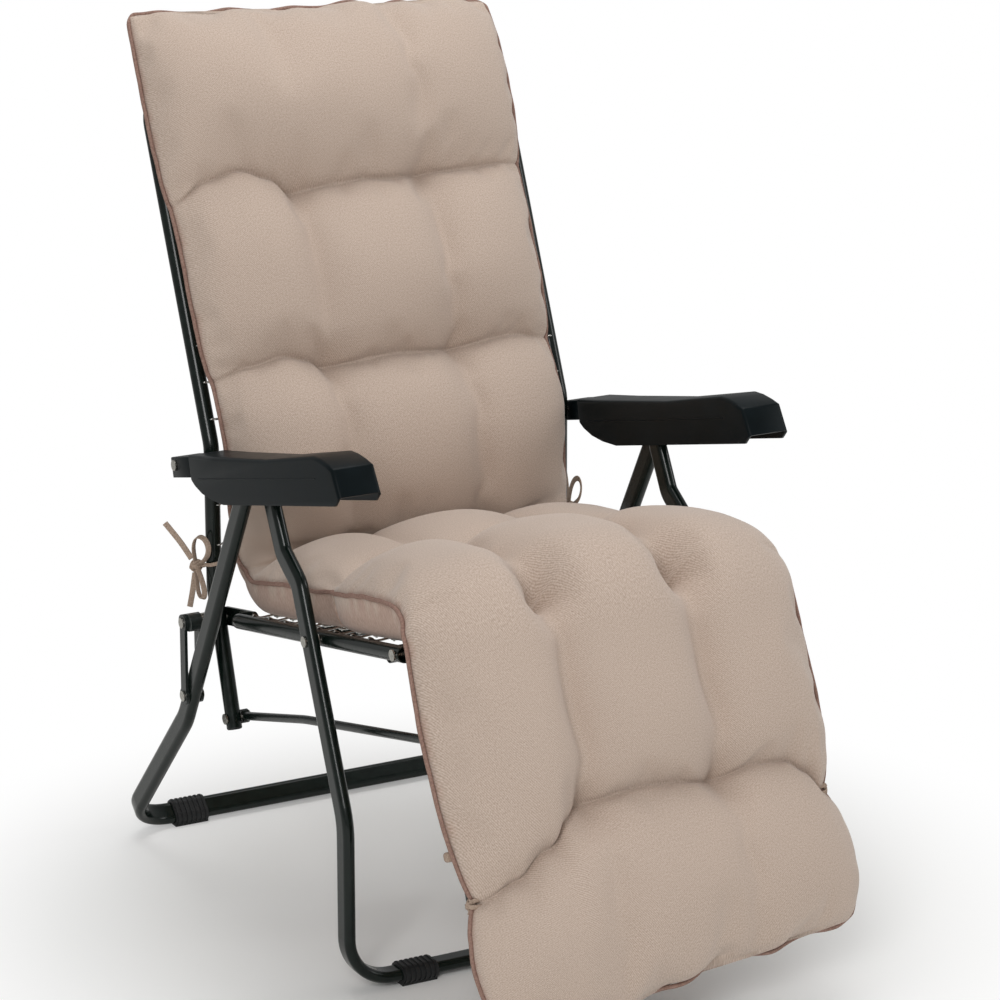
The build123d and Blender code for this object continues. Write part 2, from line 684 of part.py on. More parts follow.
def armrest(sign):
    # Distances across are taken from the outer face inwards on the left, and back on the right.
    high_x = max(sign * arm_in_x, sign * arm_out_x)
    width = arm_out_x - arm_in_x
    shell = extrude(arm_outline(), width)

    def on_top(edge):
        return edge.center().Y > arm_top - arm_nose_drop and abs(edge.tangent_at(0).Z) < abs(edge.tangent_at(0).X)

    shell = fillet(shell.edges().filter_by(on_top), arm_edge_round)
    hollow_start = arm_back_start + arm_wall
    hollow_end = arm_length - arm_front_wall
    shell -= arm_block(hollow_start, hollow_end, arm_top - 2 * arm_depth, arm_ceiling, arm_wall, width - arm_wall)
    lug_near = high_x - max(sign * lug_x, sign * (arm_out_x - arm_wall))
    lug_far = high_x - min(sign * lug_x, sign * (arm_out_x - arm_wall))
    lug = arm_block(-lug_over, hollow_start, -lug_half, lug_half - arm_wall, lug_near, lug_far)
    lug -= arm_block(-lug_over - arm_wall, arm_back_start, -2 * lug_half, lug_half - arm_wall - lug_wall,
                     lug_near + lug_wall, lug_far - lug_wall)
    stay_near, stay_far = sorted((high_x - sign * stay_x, high_x - sign * (stay_x + stay_thick)))
    window = arm_block(arm_back_start - arm_wall, hollow_start, -2 * lug_half, arm_ceiling,
                       stay_near - stay_gap / 2, stay_far + stay_gap)
    bore_long = lug_far - lug_near + 2 * arm_wall
    bore = Pos(0, 0, (lug_near + lug_far) / 2) * Cylinder(pin_radius + pin_gap, bore_long)
    return arm_plane(high_x) * (shell + lug - window - bore)


for name, sign in side_signs.items():
    save(f"armrest_{name}", [armrest(sign)])

# Arm racks: notched plates under the armrests' tops, in the lane between the legs
rack_gap = 0.36             # from the rack to each leg
rack_start = 168.0
rack_end = 436.0
rack_notches = 8
notch_depth = 4.0


def rack(sign):
    # Its teeth clear the bush by the same small gap along the whole travel.
    away = Vector(0, leg_top[0] - arm_pivot[0], leg_top[1] - arm_pivot[1])
    teeth = away.dot(unit(arm_dir - 90)) + rack_bush_radius + seat_gap
    length = rack_end - rack_start
    plate = Pos(rack_start + length / 2, (arm_ceiling + teeth) / 2) * Rectangle(length, arm_ceiling - teeth)
    pitch = length / rack_notches
    for i in range(rack_notches):
        plate -= Pos(rack_start + pitch * (i + 0.5), teeth) * Circle(notch_depth)
    middle = (front_leg_x + rear_leg_x) / 2
    half = leg_gap / 2 - rack_gap
    high_x = max(sign * (middle - half), sign * (middle + half))
    return arm_plane(high_x) * extrude(plate, 2 * half)


for name, sign in side_signs.items():
    save(f"arm_rack_{name}", [rack(sign)])


def arm_pivot_rivet(sign):
    x0 = rail_x - tube_dia / 2 - seat_gap
    x1 = arm_out_x - arm_wall + seat_gap
    return rivet(sign, x0, x1, arm_pivot, head_thick, head_thick)


save("arm_pivot_rivets", both_sides(arm_pivot_rivet))


# Arm stays: a steel strip on each rivet, hidden in the hollow armrest. It turns with the
# armrest as the back reclines, and stays with the back as the legs fold.
def arm_stay(sign):
    strip = Circle(stay_wide / 2)
    strip += Pos(stay_reach / 2, stay_top - stay_wide / 2) * Rectangle(stay_reach, stay_wide)
    strip -= Circle(pin_radius + pin_gap)
    high_x = max(sign * stay_x, sign * (stay_x + stay_thick))
    return arm_plane(high_x) * extrude(strip, stay_thick)


for name, sign in side_signs.items():
    save(f"arm_stay_{name}", [arm_stay(sign)])

# Cushion: crowned pads between sewn rows of tufts, in three lengths
pad_out = 7.2               # of a pad's back face from the tube axes, between the tubes
pad_head_out = 10.4         # where the pad is wide enough to lie on the tubes
pad_foot_out = 9.5
pad_knee_lift = 3.0         # of the seat pad's back face over the footrest's eyes
pad_crown = 100.0           # height of a pad's crest
pad_seat_crown = 105.0
pad_row_height = 46.0       # at a sewn row
pad_fold_height = 26.0      # at the hip and the knee
pad_end_height = 14.0
pad_end_half = 252.0
pad_head_half = 262.0       # half widths
pad_back_half = 244.0
pad_seat_half = 245.5
pad_foot_half = 248.0
pad_row_draw = 8.0          # how far a row is drawn in at its ends
pad_base_draw = 20.0        # back face narrower than the seam on each side
pad_seam_low = 14.0         # heights of the side seam above the back face
pad_seam_fold = 22.0
pad_seam_seat = 52.0
tuft_dip = 18.0
tuft_fold_dip = 5.0
tuft_end_dip = 0.5
tuft_x = 82.0
camber = 1.0                # least rise of the middle of a pad over its tuft columns
row_pitch = 235.0
hip_gap = 50.0              # from the back pivot to the seat pad
back_pad_low = 450.0        # height of the back pad's lower end
back_pad_top = 536.0        # of its top, along the back from the bend
foot_pad_gap = 2.0
foot_pad_end = 425.0
row_steps = 6
side_low_shares = (0.28, 0.42)
side_top_shares = (0.6, 0.5, 0.38, 0.5)
camber_share = 0.3
swell_share = 0.55
dip_fade_share = 1.6
dip_least_share = 0.12


def pad_section(point, direction, half, seam, height, dip):
    # A cross-section: flat back, sides up to the seam, crown with two tuft columns.
    plane = Plane(origin=at(0, point), x_dir=(1, 0, 0), z_dir=unit(direction))
    base = half - pad_base_draw
    column = height - dip
    low_in = half - pad_base_draw * side_low_shares[0]
    low_up = seam * side_low_shares[1]
    top_in = tuft_x + (half - tuft_x) * side_top_shares[0]
    top_up = seam + (column - seam) * side_top_shares[1] + (height - seam) * side_top_shares[2]
    top_up += dip * side_top_shares[3]

    def side(s):
        low = ThreePointArc((s * base, 0), (s * low_in, low_up), (s * half, seam))
        top = ThreePointArc((s * half, seam), (s * top_in, top_up), (s * tuft_x, column))
        return low + top

    middle = ThreePointArc((tuft_x, column), (0, height + dip * camber_share + camber), (-tuft_x, column))
    return plane * make_face(Line((-base, 0), (base, 0)) + side(1) + middle + side(-1))


def swollen(share, start, end, crest):
    # From one row's value to the next, swelling to the crest between them.
    base = start + (end - start) * share
    swell = math.sin(math.pi * share) ** swell_share if share > 0 else 0
    return base + (crest - base) * swell


def pad(base_at, rows, crests):
    # A row is (place along the back face, half width, seam height, height, tuft dip).
    # A crest is (half width, height) between two rows.
    sections = []
    for here, there, crest in zip(rows[:-1], rows[1:], crests):
        for i in range(row_steps):
            share = i / row_steps
            place, _, seam, _, dip = (a + (b - a) * share for a, b in zip(here, there))
            half = swollen(share, here[1], there[1], crest[0])
            height = swollen(share, here[3], there[3], crest[1])
            risen = (height - min(here[3], there[3])) / crest[1]
            dip *= max(dip_least_share, 1 - dip_fade_share * risen)
            sections.append(pad_section(*base_at(place), half, seam, height, dip))
    place, half, seam, height, dip = rows[-1]
    sections.append(pad_section(*base_at(place), half, seam, height, dip))
    return loft(sections, ruled=True)


def seat_base(place):
    # Counted forward from the hip end, up to the footrest pivot.
    length = gap_between(back_pivot, foot_pivot) - hip_gap
    last_step = row_pitch / row_steps
    lift = pad_knee_lift * max(0.0, 1 - (length - place) / last_step)
    return step(back_pivot, seat_dir, hip_gap + place, pad_out + lift), seat_dir


seat_length = gap_between(back_pivot, foot_pivot) - hip_gap
seat_rows = [
    (0, pad_seat_half - pad_row_draw, pad_seam_fold, pad_fold_height, tuft_fold_dip),
    (seat_length - row_pitch, pad_seat_half - pad_row_draw, pad_seam_seat - tuft_fold_dip, pad_row_height + tuft_dip,
     tuft_dip),
    (seat_length, pad_seat_half - pad_row_draw, pad_seam_fold, pad_fold_height, tuft_fold_dip),
]
seat_crest = (pad_seat_half, pad_seat_crown)
save("cushion_seat", [pad(seat_base, seat_rows, [seat_crest, seat_crest])])


def foot_base(place):
    return step(foot_pivot, foot_dir, place, pad_foot_out), foot_dir


foot_rows = [
    (foot_pad_gap, pad_foot_half - pad_row_draw, pad_seam_low, pad_fold_height, tuft_fold_dip),
    (row_pitch, pad_foot_half - pad_row_draw, pad_seam_low, pad_row_height, tuft_dip),
    (foot_pad_end, pad_foot_half - pad_row_draw, pad_seam_low - tuft_fold_dip, pad_end_height, tuft_end_dip),
]
foot_crest = (pad_foot_half, pad_crown)
save("cushion_footrest", [pad(foot_base, foot_rows, [foot_crest, foot_crest])])


def back_base(place):
    # Counted down from the top of the pad, along the leaning part and then the upright one.
    down_dir = 270 - back_lean
    if place > back_pad_top:
        return step(back_bend, 270, place - back_pad_top, pad_out), 270
    lower_half = max(0.0, 2 * place / back_pad_top - 1)
    out = pad_head_out + (pad_out - pad_head_out) * lower_half
    return step(step(back_bend, down_dir, -back_pad_top), down_dir, place, out), down_dir


back_rows = [
    (0, pad_end_half, pad_seam_low, pad_end_height, tuft_end_dip),
    (row_pitch - pad_row_draw, pad_end_half - pad_row_draw, pad_seam_low, pad_row_height, tuft_dip),
    (2 * row_pitch - pad_row_draw, pad_back_half - pad_row_draw, pad_seam_low, pad_row_height, tuft_dip),
    (back_pad_top + back_bend_height - back_pad_low, pad_back_half - pad_row_draw, pad_seam_low,
     pad_fold_height, tuft_fold_dip),
]
back_crests = [(pad_head_half, pad_crown), (pad_back_half, pad_crown), (pad_back_half, pad_crown)]
save("cushion_back", [pad(back_base, back_rows, back_crests)])

# Ties: ribbons sewn to the cushion's edge, knotted in a bow behind each back tube
ribbon_dia = 7.5
knot_size = 15.0
knot_round = 4.5
knot_out_x = 20.0           # of a knot's middle outboard of its tube
knot_back = 11.0            # behind the tube
knot_height = 431.0
knot_reach = 11.0           # to where the tails leave it
band_thick = 1.6
band_wide = 5.0
loop_radius = 3.0
# Routes are (outboard, back, up) from the middle of the knot.
tail_up_route = [(3, 7, 8), (8.4, 19.6, 22.4), (14.5, 35, 35.5), (20, 50, 46.5)]
tail_down_route = [(0.5, 2.5, -10.7), (1.2, 6, -25.7), (3, 8, -41.5), (6, 9, -57)]
loop_up_route = [(0, 0, 2), (0, -5, 26), (0, -14, 46), (0, -34, 47), (0, -44, 30), (0, -28, 12), (0, -2, 0)]
loop_down_route = [(1, 0, -3), (1.5, -9, -21), (2, -20, -38), (2.5, -31, -35), (2, -24, -17), (1, -4, -2)]
run_share = 0.45


def cord_path(points):
    # Straight runs joined by arcs as large as the runs on each side allow.
    radii = []
    for before, point, after in zip(points[:-2], points[1:-1], points[2:]):
        turn = math.radians((point - before).get_angle(after - point))
        shorter = min((point - before).length, (after - point).length)
        radii.append(run_share * shorter / math.tan(turn / 2))
    print("cord radii", [round(r, 1) for r in radii])
    return FilletPolyline(*points, radius=radii)


def cord(points, radius):
    path = cord_path(points)
    return sweep(Plane(origin=path @ 0, z_dir=path % 0) * Circle(radius), path=path)


def from_knot(sign, offset):
    out, back, up = offset
    return at(sign * (rail_x + knot_out_x + out), (back_post_y + knot_back + back, knot_height + up))


def tie_bow(sign):
    middle = from_knot(sign, (0, 0, 0))
    bow = Pos(*middle) * Box(knot_size, knot_size, knot_size)
    bow = fillet(bow.edges(), knot_round)
    for route in (tail_up_route, tail_down_route):
        start = from_knot(sign, route[0])
        plane = Plane(origin=middle, z_dir=start - middle)
        align = (Align.CENTER, Align.CENTER, Align.MIN)
        bow += plane * Cylinder(ribbon_dia / 2, (start - middle).length, align=align)
    for route in (loop_up_route, loop_down_route):
        bow += cord([from_knot(sign, offset) for offset in route], loop_radius)
    # The band goes round the tube, open on the side where it comes from the cushion.
    inner = tube_dia / 2 + seat_gap
    axis = at(sign * rail_x, (back_post_y, knot_height - band_wide / 2))
    across = axis + Vector(sign * knot_out_x, knot_back, 0)
    band = Circle(inner + band_thick)
    strap_length = math.hypot(knot_out_x, knot_back)
    strap_angle = math.degrees(math.atan2(knot_back, sign * knot_out_x))
    band += Rot(0, 0, strap_angle) * (Pos(strap_length / 2, 0) * Rectangle(strap_length, band_wide))
    band -= Circle(inner)
    opening = 2 * tube_dia
    band -= Pos(-sign * opening / 2, -opening / 2) * Rectangle(opening, opening)
    return bow + Plane(origin=axis, x_dir=(1, 0, 0), z_dir=(0, 0, 1)) * extrude(band, band_wide)


for name, sign in side_signs.items():
    save(f"tie_bow_{name}", [tie_bow(sign)])
    save(f"tie_tail_upper_{name}", [cord([from_knot(sign, p) for p in tail_up_route], ribbon_dia / 2)])
    save(f"tie_tail_lower_{name}", [cord([from_knot(sign, p) for p in tail_down_route], ribbon_dia / 2)])

# Small knots hold the cushion's lower part to the footrest's tubes
foot_knot_size = 12.0
foot_knot_round = 4.0
foot_knot_place = 243.0     # down from the footrest pivot
foot_knot_out = 12.0        # out from the tube axes
foot_knot_x = foot_x + foot_tube_dia / 2 + foot_knot_size / 2 + rod_dia


def foot_tie(sign):
    knot_at = step(foot_pivot, foot_dir, foot_knot_place, foot_knot_out)
    knot_plane = Plane(origin=at(sign * foot_knot_x, knot_at), x_dir=(1, 0, 0), z_dir=unit(foot_dir))
    knot = knot_plane * fillet(Box(foot_knot_size, foot_knot_size, foot_knot_size).edges(), foot_knot_round)
    band_at = step(foot_pivot, foot_dir, foot_knot_place - band_wide / 2)
    plane = Plane(origin=at(sign * foot_x, band_at), x_dir=(1, 0, 0), z_dir=unit(foot_dir))
    inner = foot_tube_dia / 2 + seat_gap
    outer_side = 1 if plane.y_dir.dot(unit(foot_dir - 90)) > 0 else -1
    band = Circle(inner + band_thick) - Circle(inner)
    opening = 2 * foot_tube_dia
    band -= Pos(0, outer_side * opening / 2) * Rectangle(opening, opening)
    strap_start = inner
    strap_end = foot_knot_x - foot_x
    band += Pos(sign * (strap_start + strap_end) / 2, 0) * Rectangle(strap_end - strap_start, band_thick)
    riser = Pos(sign * (strap_end - band_thick / 2), outer_side * foot_knot_out / 2)
    band += riser * Rectangle(band_thick, foot_knot_out)
    return knot + plane * extrude(band, band_wide)


for name, sign in side_signs.items():
    save(f"footrest_tie_{name}", [foot_tie(sign)])
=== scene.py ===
import json
import math

import bmesh
import bpy
from mathutils import Matrix, Vector, noise


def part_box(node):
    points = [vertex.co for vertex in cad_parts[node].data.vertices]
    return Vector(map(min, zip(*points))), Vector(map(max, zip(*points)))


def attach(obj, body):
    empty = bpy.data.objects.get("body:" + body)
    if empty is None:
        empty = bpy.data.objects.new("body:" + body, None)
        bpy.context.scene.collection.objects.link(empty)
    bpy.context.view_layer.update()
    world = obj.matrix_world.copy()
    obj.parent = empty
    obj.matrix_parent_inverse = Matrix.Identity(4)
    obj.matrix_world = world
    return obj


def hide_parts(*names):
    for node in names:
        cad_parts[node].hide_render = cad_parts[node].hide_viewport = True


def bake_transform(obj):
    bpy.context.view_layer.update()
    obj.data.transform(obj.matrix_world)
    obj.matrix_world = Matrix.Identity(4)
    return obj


# Reclining garden armchair. Metres, +Z up, the sitter faces -Y, +X to the sitter's left.
# A side profile point is (y, z). The joints' places come from the frame.
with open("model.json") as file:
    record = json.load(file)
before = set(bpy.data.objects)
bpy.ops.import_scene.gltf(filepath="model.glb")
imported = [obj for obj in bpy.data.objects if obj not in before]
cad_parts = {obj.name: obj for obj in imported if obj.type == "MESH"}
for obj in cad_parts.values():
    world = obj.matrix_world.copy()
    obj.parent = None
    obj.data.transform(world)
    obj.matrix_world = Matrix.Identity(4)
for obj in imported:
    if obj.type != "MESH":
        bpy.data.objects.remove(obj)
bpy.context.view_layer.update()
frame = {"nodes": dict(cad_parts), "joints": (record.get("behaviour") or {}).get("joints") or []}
mm = 0.001
pivots = {joint["name"]: Vector(joint["pos_m"]) for joint in frame["joints"]}

# Tube frame: two leg frames, the seat, back and footrest frames and the push rods.
# Bent steel tube in baked enamel, so dark green it looks black. The gloss gives long
# sharp highlights, and the coat is slightly wavy where it flowed.
enamel_green = "#08100D"
enamel_edge = "#121C18"
enamel_wave = 9 * mm


def linear(hex_colour):
    channels = [int(hex_colour[i:i + 2], 16) / 255 for i in (1, 3, 5)]
    return [c / 12.92 if c <= 0.04045 else ((c + 0.055) / 1.055) ** 2.4 for c in channels] + [1.0]


def new_material(name, **sockets):
    material = bpy.data.materials.new(name)
    material.use_nodes = True
    shader = material.node_tree.nodes["Principled BSDF"]
    for socket, value in sockets.items():
        shader.inputs[socket.replace("_", " ")].default_value = value
    return material, shader


def add_node(material, kind, links=(), **settings):
    # Links are (input, node, output). A setting that names an input sets its value.
    node = material.node_tree.nodes.new(kind)
    for name, value in settings.items():
        if hasattr(node, name):
            setattr(node, name, value)
        else:
            node.inputs[name.replace("_", " ")].default_value = value
    for name, source, output in links:
        material.node_tree.links.new(source.outputs[output], node.inputs[name])
    return node


def colour_ramp(material, source, output, stops):
    ramp = add_node(material, "ShaderNodeValToRGB", [("Fac", source, output)])
    while len(ramp.color_ramp.elements) < len(stops):
        ramp.color_ramp.elements.new(0.5)
    for element, (place, colour) in zip(ramp.color_ramp.elements, stops):
        element.position = place
        element.color = linear(colour)
    return ramp


def grey_ramp(material, source, output, low, high):
    # Turns a pattern into a roughness between two values.
    return add_node(material, "ShaderNodeMapRange", [("Value", source, output)], To_Min=low, To_Max=high)


def dress(material, *nodes):
    for name in nodes:
        node = frame["nodes"][name]
        node.data.materials.clear()
        node.data.materials.append(material)


enamel, enamel_shader = new_material("baked_enamel_dark_green", Specular_IOR_Level=0.25, Coat_Weight=0.1,
                                     Coat_Roughness=0.06)
enamel_place = add_node(enamel, "ShaderNodeTexCoord")
enamel_flow = add_node(enamel, "ShaderNodeTexNoise", [("Vector", enamel_place, "Object")],
                       Scale=1 / enamel_wave, Detail=2.0, Roughness=0.45)
enamel_tone = colour_ramp(enamel, enamel_flow, "Fac", [(0.3, enamel_green), (0.8, enamel_edge)])
enamel_gloss = grey_ramp(enamel, enamel_flow, "Fac", 0.14, 0.3)
enamel_bump = add_node(enamel, "ShaderNodeBump", [("Height", enamel_flow, "Fac")], Strength=0.12,
                       Distance=0.4 * mm)
enamel.node_tree.links.new(enamel_tone.outputs["Color"], enamel_shader.inputs["Base Color"])
enamel.node_tree.links.new(enamel_gloss.outputs["Result"], enamel_shader.inputs["Roughness"])
enamel.node_tree.links.new(enamel_bump.outputs["Normal"], enamel_shader.inputs["Normal"])
dress(enamel, "front_leg_frame", "rear_leg_frame", "seat_frame", "seat_front_bar", "back_frame",
      "footrest_frame", "push_rod_right", "push_rod_left")

# Link plates, their spacer blocks and the armrests' racks: pressed from sheet steel and
# dipped in the same enamel, which lies thicker and duller on the sheared edges. The strips in
# the armrests, which the real chair may not have, are finished the same way.
pressed, pressed_shader = new_material("enamelled_pressed_steel", Specular_IOR_Level=0.4)
pressed_place = add_node(pressed, "ShaderNodeTexCoord")
pressed_grain = add_node(pressed, "ShaderNodeTexNoise", [("Vector", pressed_place, "Object")],
                         Scale=1 / (3 * mm), Detail=3.0)
pressed_tone = colour_ramp(pressed, pressed_grain, "Fac", [(0.3, "#0E1413"), (0.75, "#1E2725")])
pressed_gloss = grey_ramp(pressed, pressed_grain, "Fac", 0.24, 0.42)
pressed_bump = add_node(pressed, "ShaderNodeBump", [("Height", pressed_grain, "Fac")], Strength=0.15,
                        Distance=0.2 * mm)
pressed.node_tree.links.new(pressed_tone.outputs["Color"], pressed_shader.inputs["Base Color"])
pressed.node_tree.links.new(pressed_gloss.outputs["Result"], pressed_shader.inputs["Roughness"])
pressed.node_tree.links.new(pressed_bump.outputs["Normal"], pressed_shader.inputs["Normal"])
dress(pressed, "link_plate_inner_right", "link_plate_inner_left", "link_plate_outer_right",
      "link_plate_outer_left", "link_spacers", "arm_rack_right", "arm_rack_left", "arm_stay_right",
      "arm_stay_left")

# Rivets, pins, bushes and washers: turned steel with bright zinc plating, a little
# mottled where the plating is thin.
zinc, zinc_shader = new_material("bright_zinc_plate", Metallic=1.0)
zinc_place = add_node(zinc, "ShaderNodeTexCoord")
zinc_mottle = add_node(zinc, "ShaderNodeTexNoise", [("Vector", zinc_place, "Object")],
                       Scale=1 / (2.5 * mm), Detail=4.0)
zinc_tone = colour_ramp(zinc, zinc_mottle, "Fac", [(0.3, "#8E8B84"), (0.7, "#B9B7B0")])
zinc_gloss = grey_ramp(zinc, zinc_mottle, "Fac", 0.2, 0.38)
zinc.node_tree.links.new(zinc_tone.outputs["Color"], zinc_shader.inputs["Base Color"])
zinc.node_tree.links.new(zinc_gloss.outputs["Result"], zinc_shader.inputs["Roughness"])
dress(zinc, "leg_top_pins", "leg_top_bushes", "seat_pivot_rivets", "seat_pivot_washers", "link_foot_rivets",
      "back_pivot_pins", "back_pivot_bushes", "footrest_pivot_pins", "footrest_pivot_bushes",
      "link_top_rivets", "rod_rear_rivets", "rod_front_rivets", "rod_bracket_pins", "arm_pivot_rivets")

# Feet and lever plugs: black polyethylene, moulded with a fine spark-eroded texture that
# leaves it nearly matt.
foot_plastic, foot_shader = new_material("moulded_polyethylene_black", IOR=1.51, Specular_IOR_Level=0.35)
foot_place = add_node(foot_plastic, "ShaderNodeTexCoord")
foot_grain = add_node(foot_plastic, "ShaderNodeTexNoise", [("Vector", foot_place, "Object")],
                      Scale=1 / (0.9 * mm), Detail=2.0)
foot_tone = colour_ramp(foot_plastic, foot_grain, "Fac", [(0.3, "#131415"), (0.75, "#202223")])
foot_gloss = grey_ramp(foot_plastic, foot_grain, "Fac", 0.42, 0.6)
foot_bump = add_node(foot_plastic, "ShaderNodeBump", [("Height", foot_grain, "Fac")], Strength=0.25,
                     Distance=0.1 * mm)
foot_plastic.node_tree.links.new(foot_tone.outputs["Color"], foot_shader.inputs["Base Color"])
foot_plastic.node_tree.links.new(foot_gloss.outputs["Result"], foot_shader.inputs["Roughness"])
foot_plastic.node_tree.links.new(foot_bump.outputs["Normal"], foot_shader.inputs["Normal"])
dress(foot_plastic, "front_foot_right", "front_foot_left", "rear_foot_right", "rear_foot_left", "lever_plugs")

# Armrests: hollow polypropylene mouldings, open underneath, with rounded edges, a raised
# parting line along each side and a lug that is riveted to the back tube.
arm_wall = 3 * mm
arm_round = 5 * mm
arm_rise = math.radians(14.5)
arm_length = 483 * mm
arm_start = 50 * mm
arm_top = 10 * mm
arm_low = -49.5 * mm
arm_dish = 3.5 * mm
arm_line_up = -17 * mm
lug_half = 16.5 * mm
lug_over = 11 * mm
lug_shelf = 10.5 * mm
lug_inset = 12.5 * mm       # of the lug's inner face from the armrest's inner side
lug_round = 1.5 * mm
arm_bend_round = 2 * mm
parting_radius = 0.7 * mm
parting_start = 26 * mm     # from the armrest's rear end
parting_stop = 60 * mm      # short of its front end
# Outline points are (along the armrest, above the line through its pivot).
arm_outline = [
    (arm_start, 13 * mm),
    (arm_start, -15 * mm),
    (arm_start + 14 * mm, -26 * mm),
    (arm_start + 33 * mm, -35.5 * mm),
    (arm_start + 60 * mm, -43.5 * mm),
    (arm_start + 95 * mm, arm_low),
    (arm_length - 14 * mm, arm_low),
    (arm_length, arm_low + 9.8 * mm),
    (arm_length - 11.2 * mm, arm_top - 16 * mm),
    (arm_length - 26 * mm, arm_top - 9.6 * mm),
    (arm_length - 44 * mm, arm_top - 3.6 * mm),
    (arm_length - 62 * mm, arm_top),
    (arm_length - 200 * mm, arm_top - arm_dish),
    (arm_start + 80 * mm, arm_top),
]
arm_plastic, arm_shader = new_material("moulded_polypropylene_blue_black", IOR=1.49, Specular_IOR_Level=0.1)
arm_place = add_node(arm_plastic, "ShaderNodeTexCoord")
arm_grain = add_node(arm_plastic, "ShaderNodeTexNoise", [("Vector", arm_place, "Object")],
                     Scale=1 / (1.2 * mm), Detail=2.0)
arm_cloud = add_node(arm_plastic, "ShaderNodeTexNoise", [("Vector", arm_place, "Object")],
                     Scale=1 / (45 * mm), Detail=3.0)
arm_tone = colour_ramp(arm_plastic, arm_cloud, "Fac", [(0.3, "#070E10"), (0.75, "#0D1518")])
arm_gloss = grey_ramp(arm_plastic, arm_cloud, "Fac", 0.3, 0.42)
arm_bump = add_node(arm_plastic, "ShaderNodeBump", [("Height", arm_grain, "Fac")], Strength=0.2,
                    Distance=0.12 * mm)
arm_plastic.node_tree.links.new(arm_tone.outputs["Color"], arm_shader.inputs["Base Color"])
arm_plastic.node_tree.links.new(arm_gloss.outputs["Result"], arm_shader.inputs["Roughness"])
arm_plastic.node_tree.links.new(arm_bump.outputs["Normal"], arm_shader.inputs["Normal"])


def new_piece(name, bm, material, smooth=True):
    mesh = bpy.data.meshes.new(name)
    for face in bm.faces:
        face.smooth = smooth
    bm.to_mesh(mesh)
    bm.free()
    mesh.materials.append(material)
    piece = bpy.data.objects.new(name, mesh)
    bpy.context.scene.collection.objects.link(piece)
    return piece


def sharpen(bm, angle):
    for edge in bm.edges:
        if len(edge.link_faces) == 2 and edge.calc_face_angle() > math.radians(angle):
            edge.smooth = False


def swept(points, radius, sides=8, closed=False):
    # A round wire along a smooth line through the points, as a mesh.
    curve = bpy.data.curves.new("swept", "CURVE")
    curve.dimensions = "3D"
    curve.bevel_depth = radius
    curve.bevel_resolution = max(0, sides // 4 - 1)
    curve.use_fill_caps = True
    curve.resolution_u = 3
    spline = curve.splines.new("NURBS")
    spline.points.add(len(points) - 1)
    for control, point in zip(spline.points, points):
        control.co = (*point, 1.0)
    spline.order_u = 3
    spline.use_endpoint_u = not closed
    spline.use_cyclic_u = closed
    holder = bpy.data.objects.new("swept", curve)
    mesh = bpy.data.meshes.new_from_object(holder)
    bpy.data.objects.remove(holder)
    bpy.data.curves.remove(curve)
    return mesh


def add_mesh(bm, mesh):
    before = len(bm.verts)
    bm.from_mesh(mesh)
    bm.verts.ensure_lookup_table()
    bpy.data.meshes.remove(mesh)
    return bm.verts[before:]


def arm_place_matrix(x):
    # Local x runs forward along the armrest, y up from it, z across towards +X.
    pivot = pivots["arm_fold"]
    forward = Vector((0, -math.cos(arm_rise), math.sin(arm_rise)))
    upward = Vector((0, math.sin(arm_rise), math.cos(arm_rise)))
    across = Vector((1, 0, 0))
    matrix = Matrix((forward, upward, across)).transposed().to_4x4()
    matrix.translation = Vector((x, pivot.y, pivot.z))
    return matrix


def make_armrest(side, low, high):
    width = high.x - low.x
    bm = bmesh.new()
    rim = [bm.verts.new((along, up, 0)) for along, up in arm_outline]
    side_face = bm.faces.new(rim)
    extruded = bmesh.ops.extrude_face_region(bm, geom=[side_face])
    moved = [v for v in extruded["geom"] if isinstance(v, bmesh.types.BMVert)]
    bmesh.ops.translate(bm, verts=moved, vec=(0, 0, width))
    bmesh.ops.recalc_face_normals(bm, faces=bm.faces)
    under = [f for f in bm.faces if f.normal.y < -0.3 and abs(f.normal.z) < 0.1]
    bmesh.ops.delete(bm, geom=under, context="FACES")
    corners = [e for e in bm.edges if len(e.link_faces) == 2
               and (abs(e.link_faces[0].normal.z) > 0.9) != (abs(e.link_faces[1].normal.z) > 0.9)]
    bmesh.ops.bevel(bm, geom=corners, offset=arm_round, offset_type="OFFSET", segments=4, profile=0.5,
                    affect="EDGES", material=-1)
    bends = [e for e in bm.edges if len(e.link_faces) == 2 and e.calc_face_angle() > math.radians(20)
             and abs((e.verts[0].co - e.verts[1].co).normalized().z) > 0.9]
    bmesh.ops.bevel(bm, geom=bends, offset=arm_bend_round, offset_type="OFFSET", segments=3, profile=0.5,
                    affect="EDGES", material=-1)
    bmesh.ops.remove_doubles(bm, verts=bm.verts, dist=0.05 * mm)
    bmesh.ops.solidify(bm, geom=bm.faces, thickness=arm_wall)
    for z in (0, width):
        ends = [(arm_start + parting_start, arm_line_up, z), (arm_length - parting_stop, arm_line_up, z)]
        add_mesh(bm, swept([ends[0], [(a + b) / 2 for a, b in zip(*ends)], ends[1]], parting_radius))
    sharpen(bm, 50)
    bm.transform(arm_place_matrix(low.x))
    return new_piece(f"armrest_shell_{side}", bm, arm_plastic)


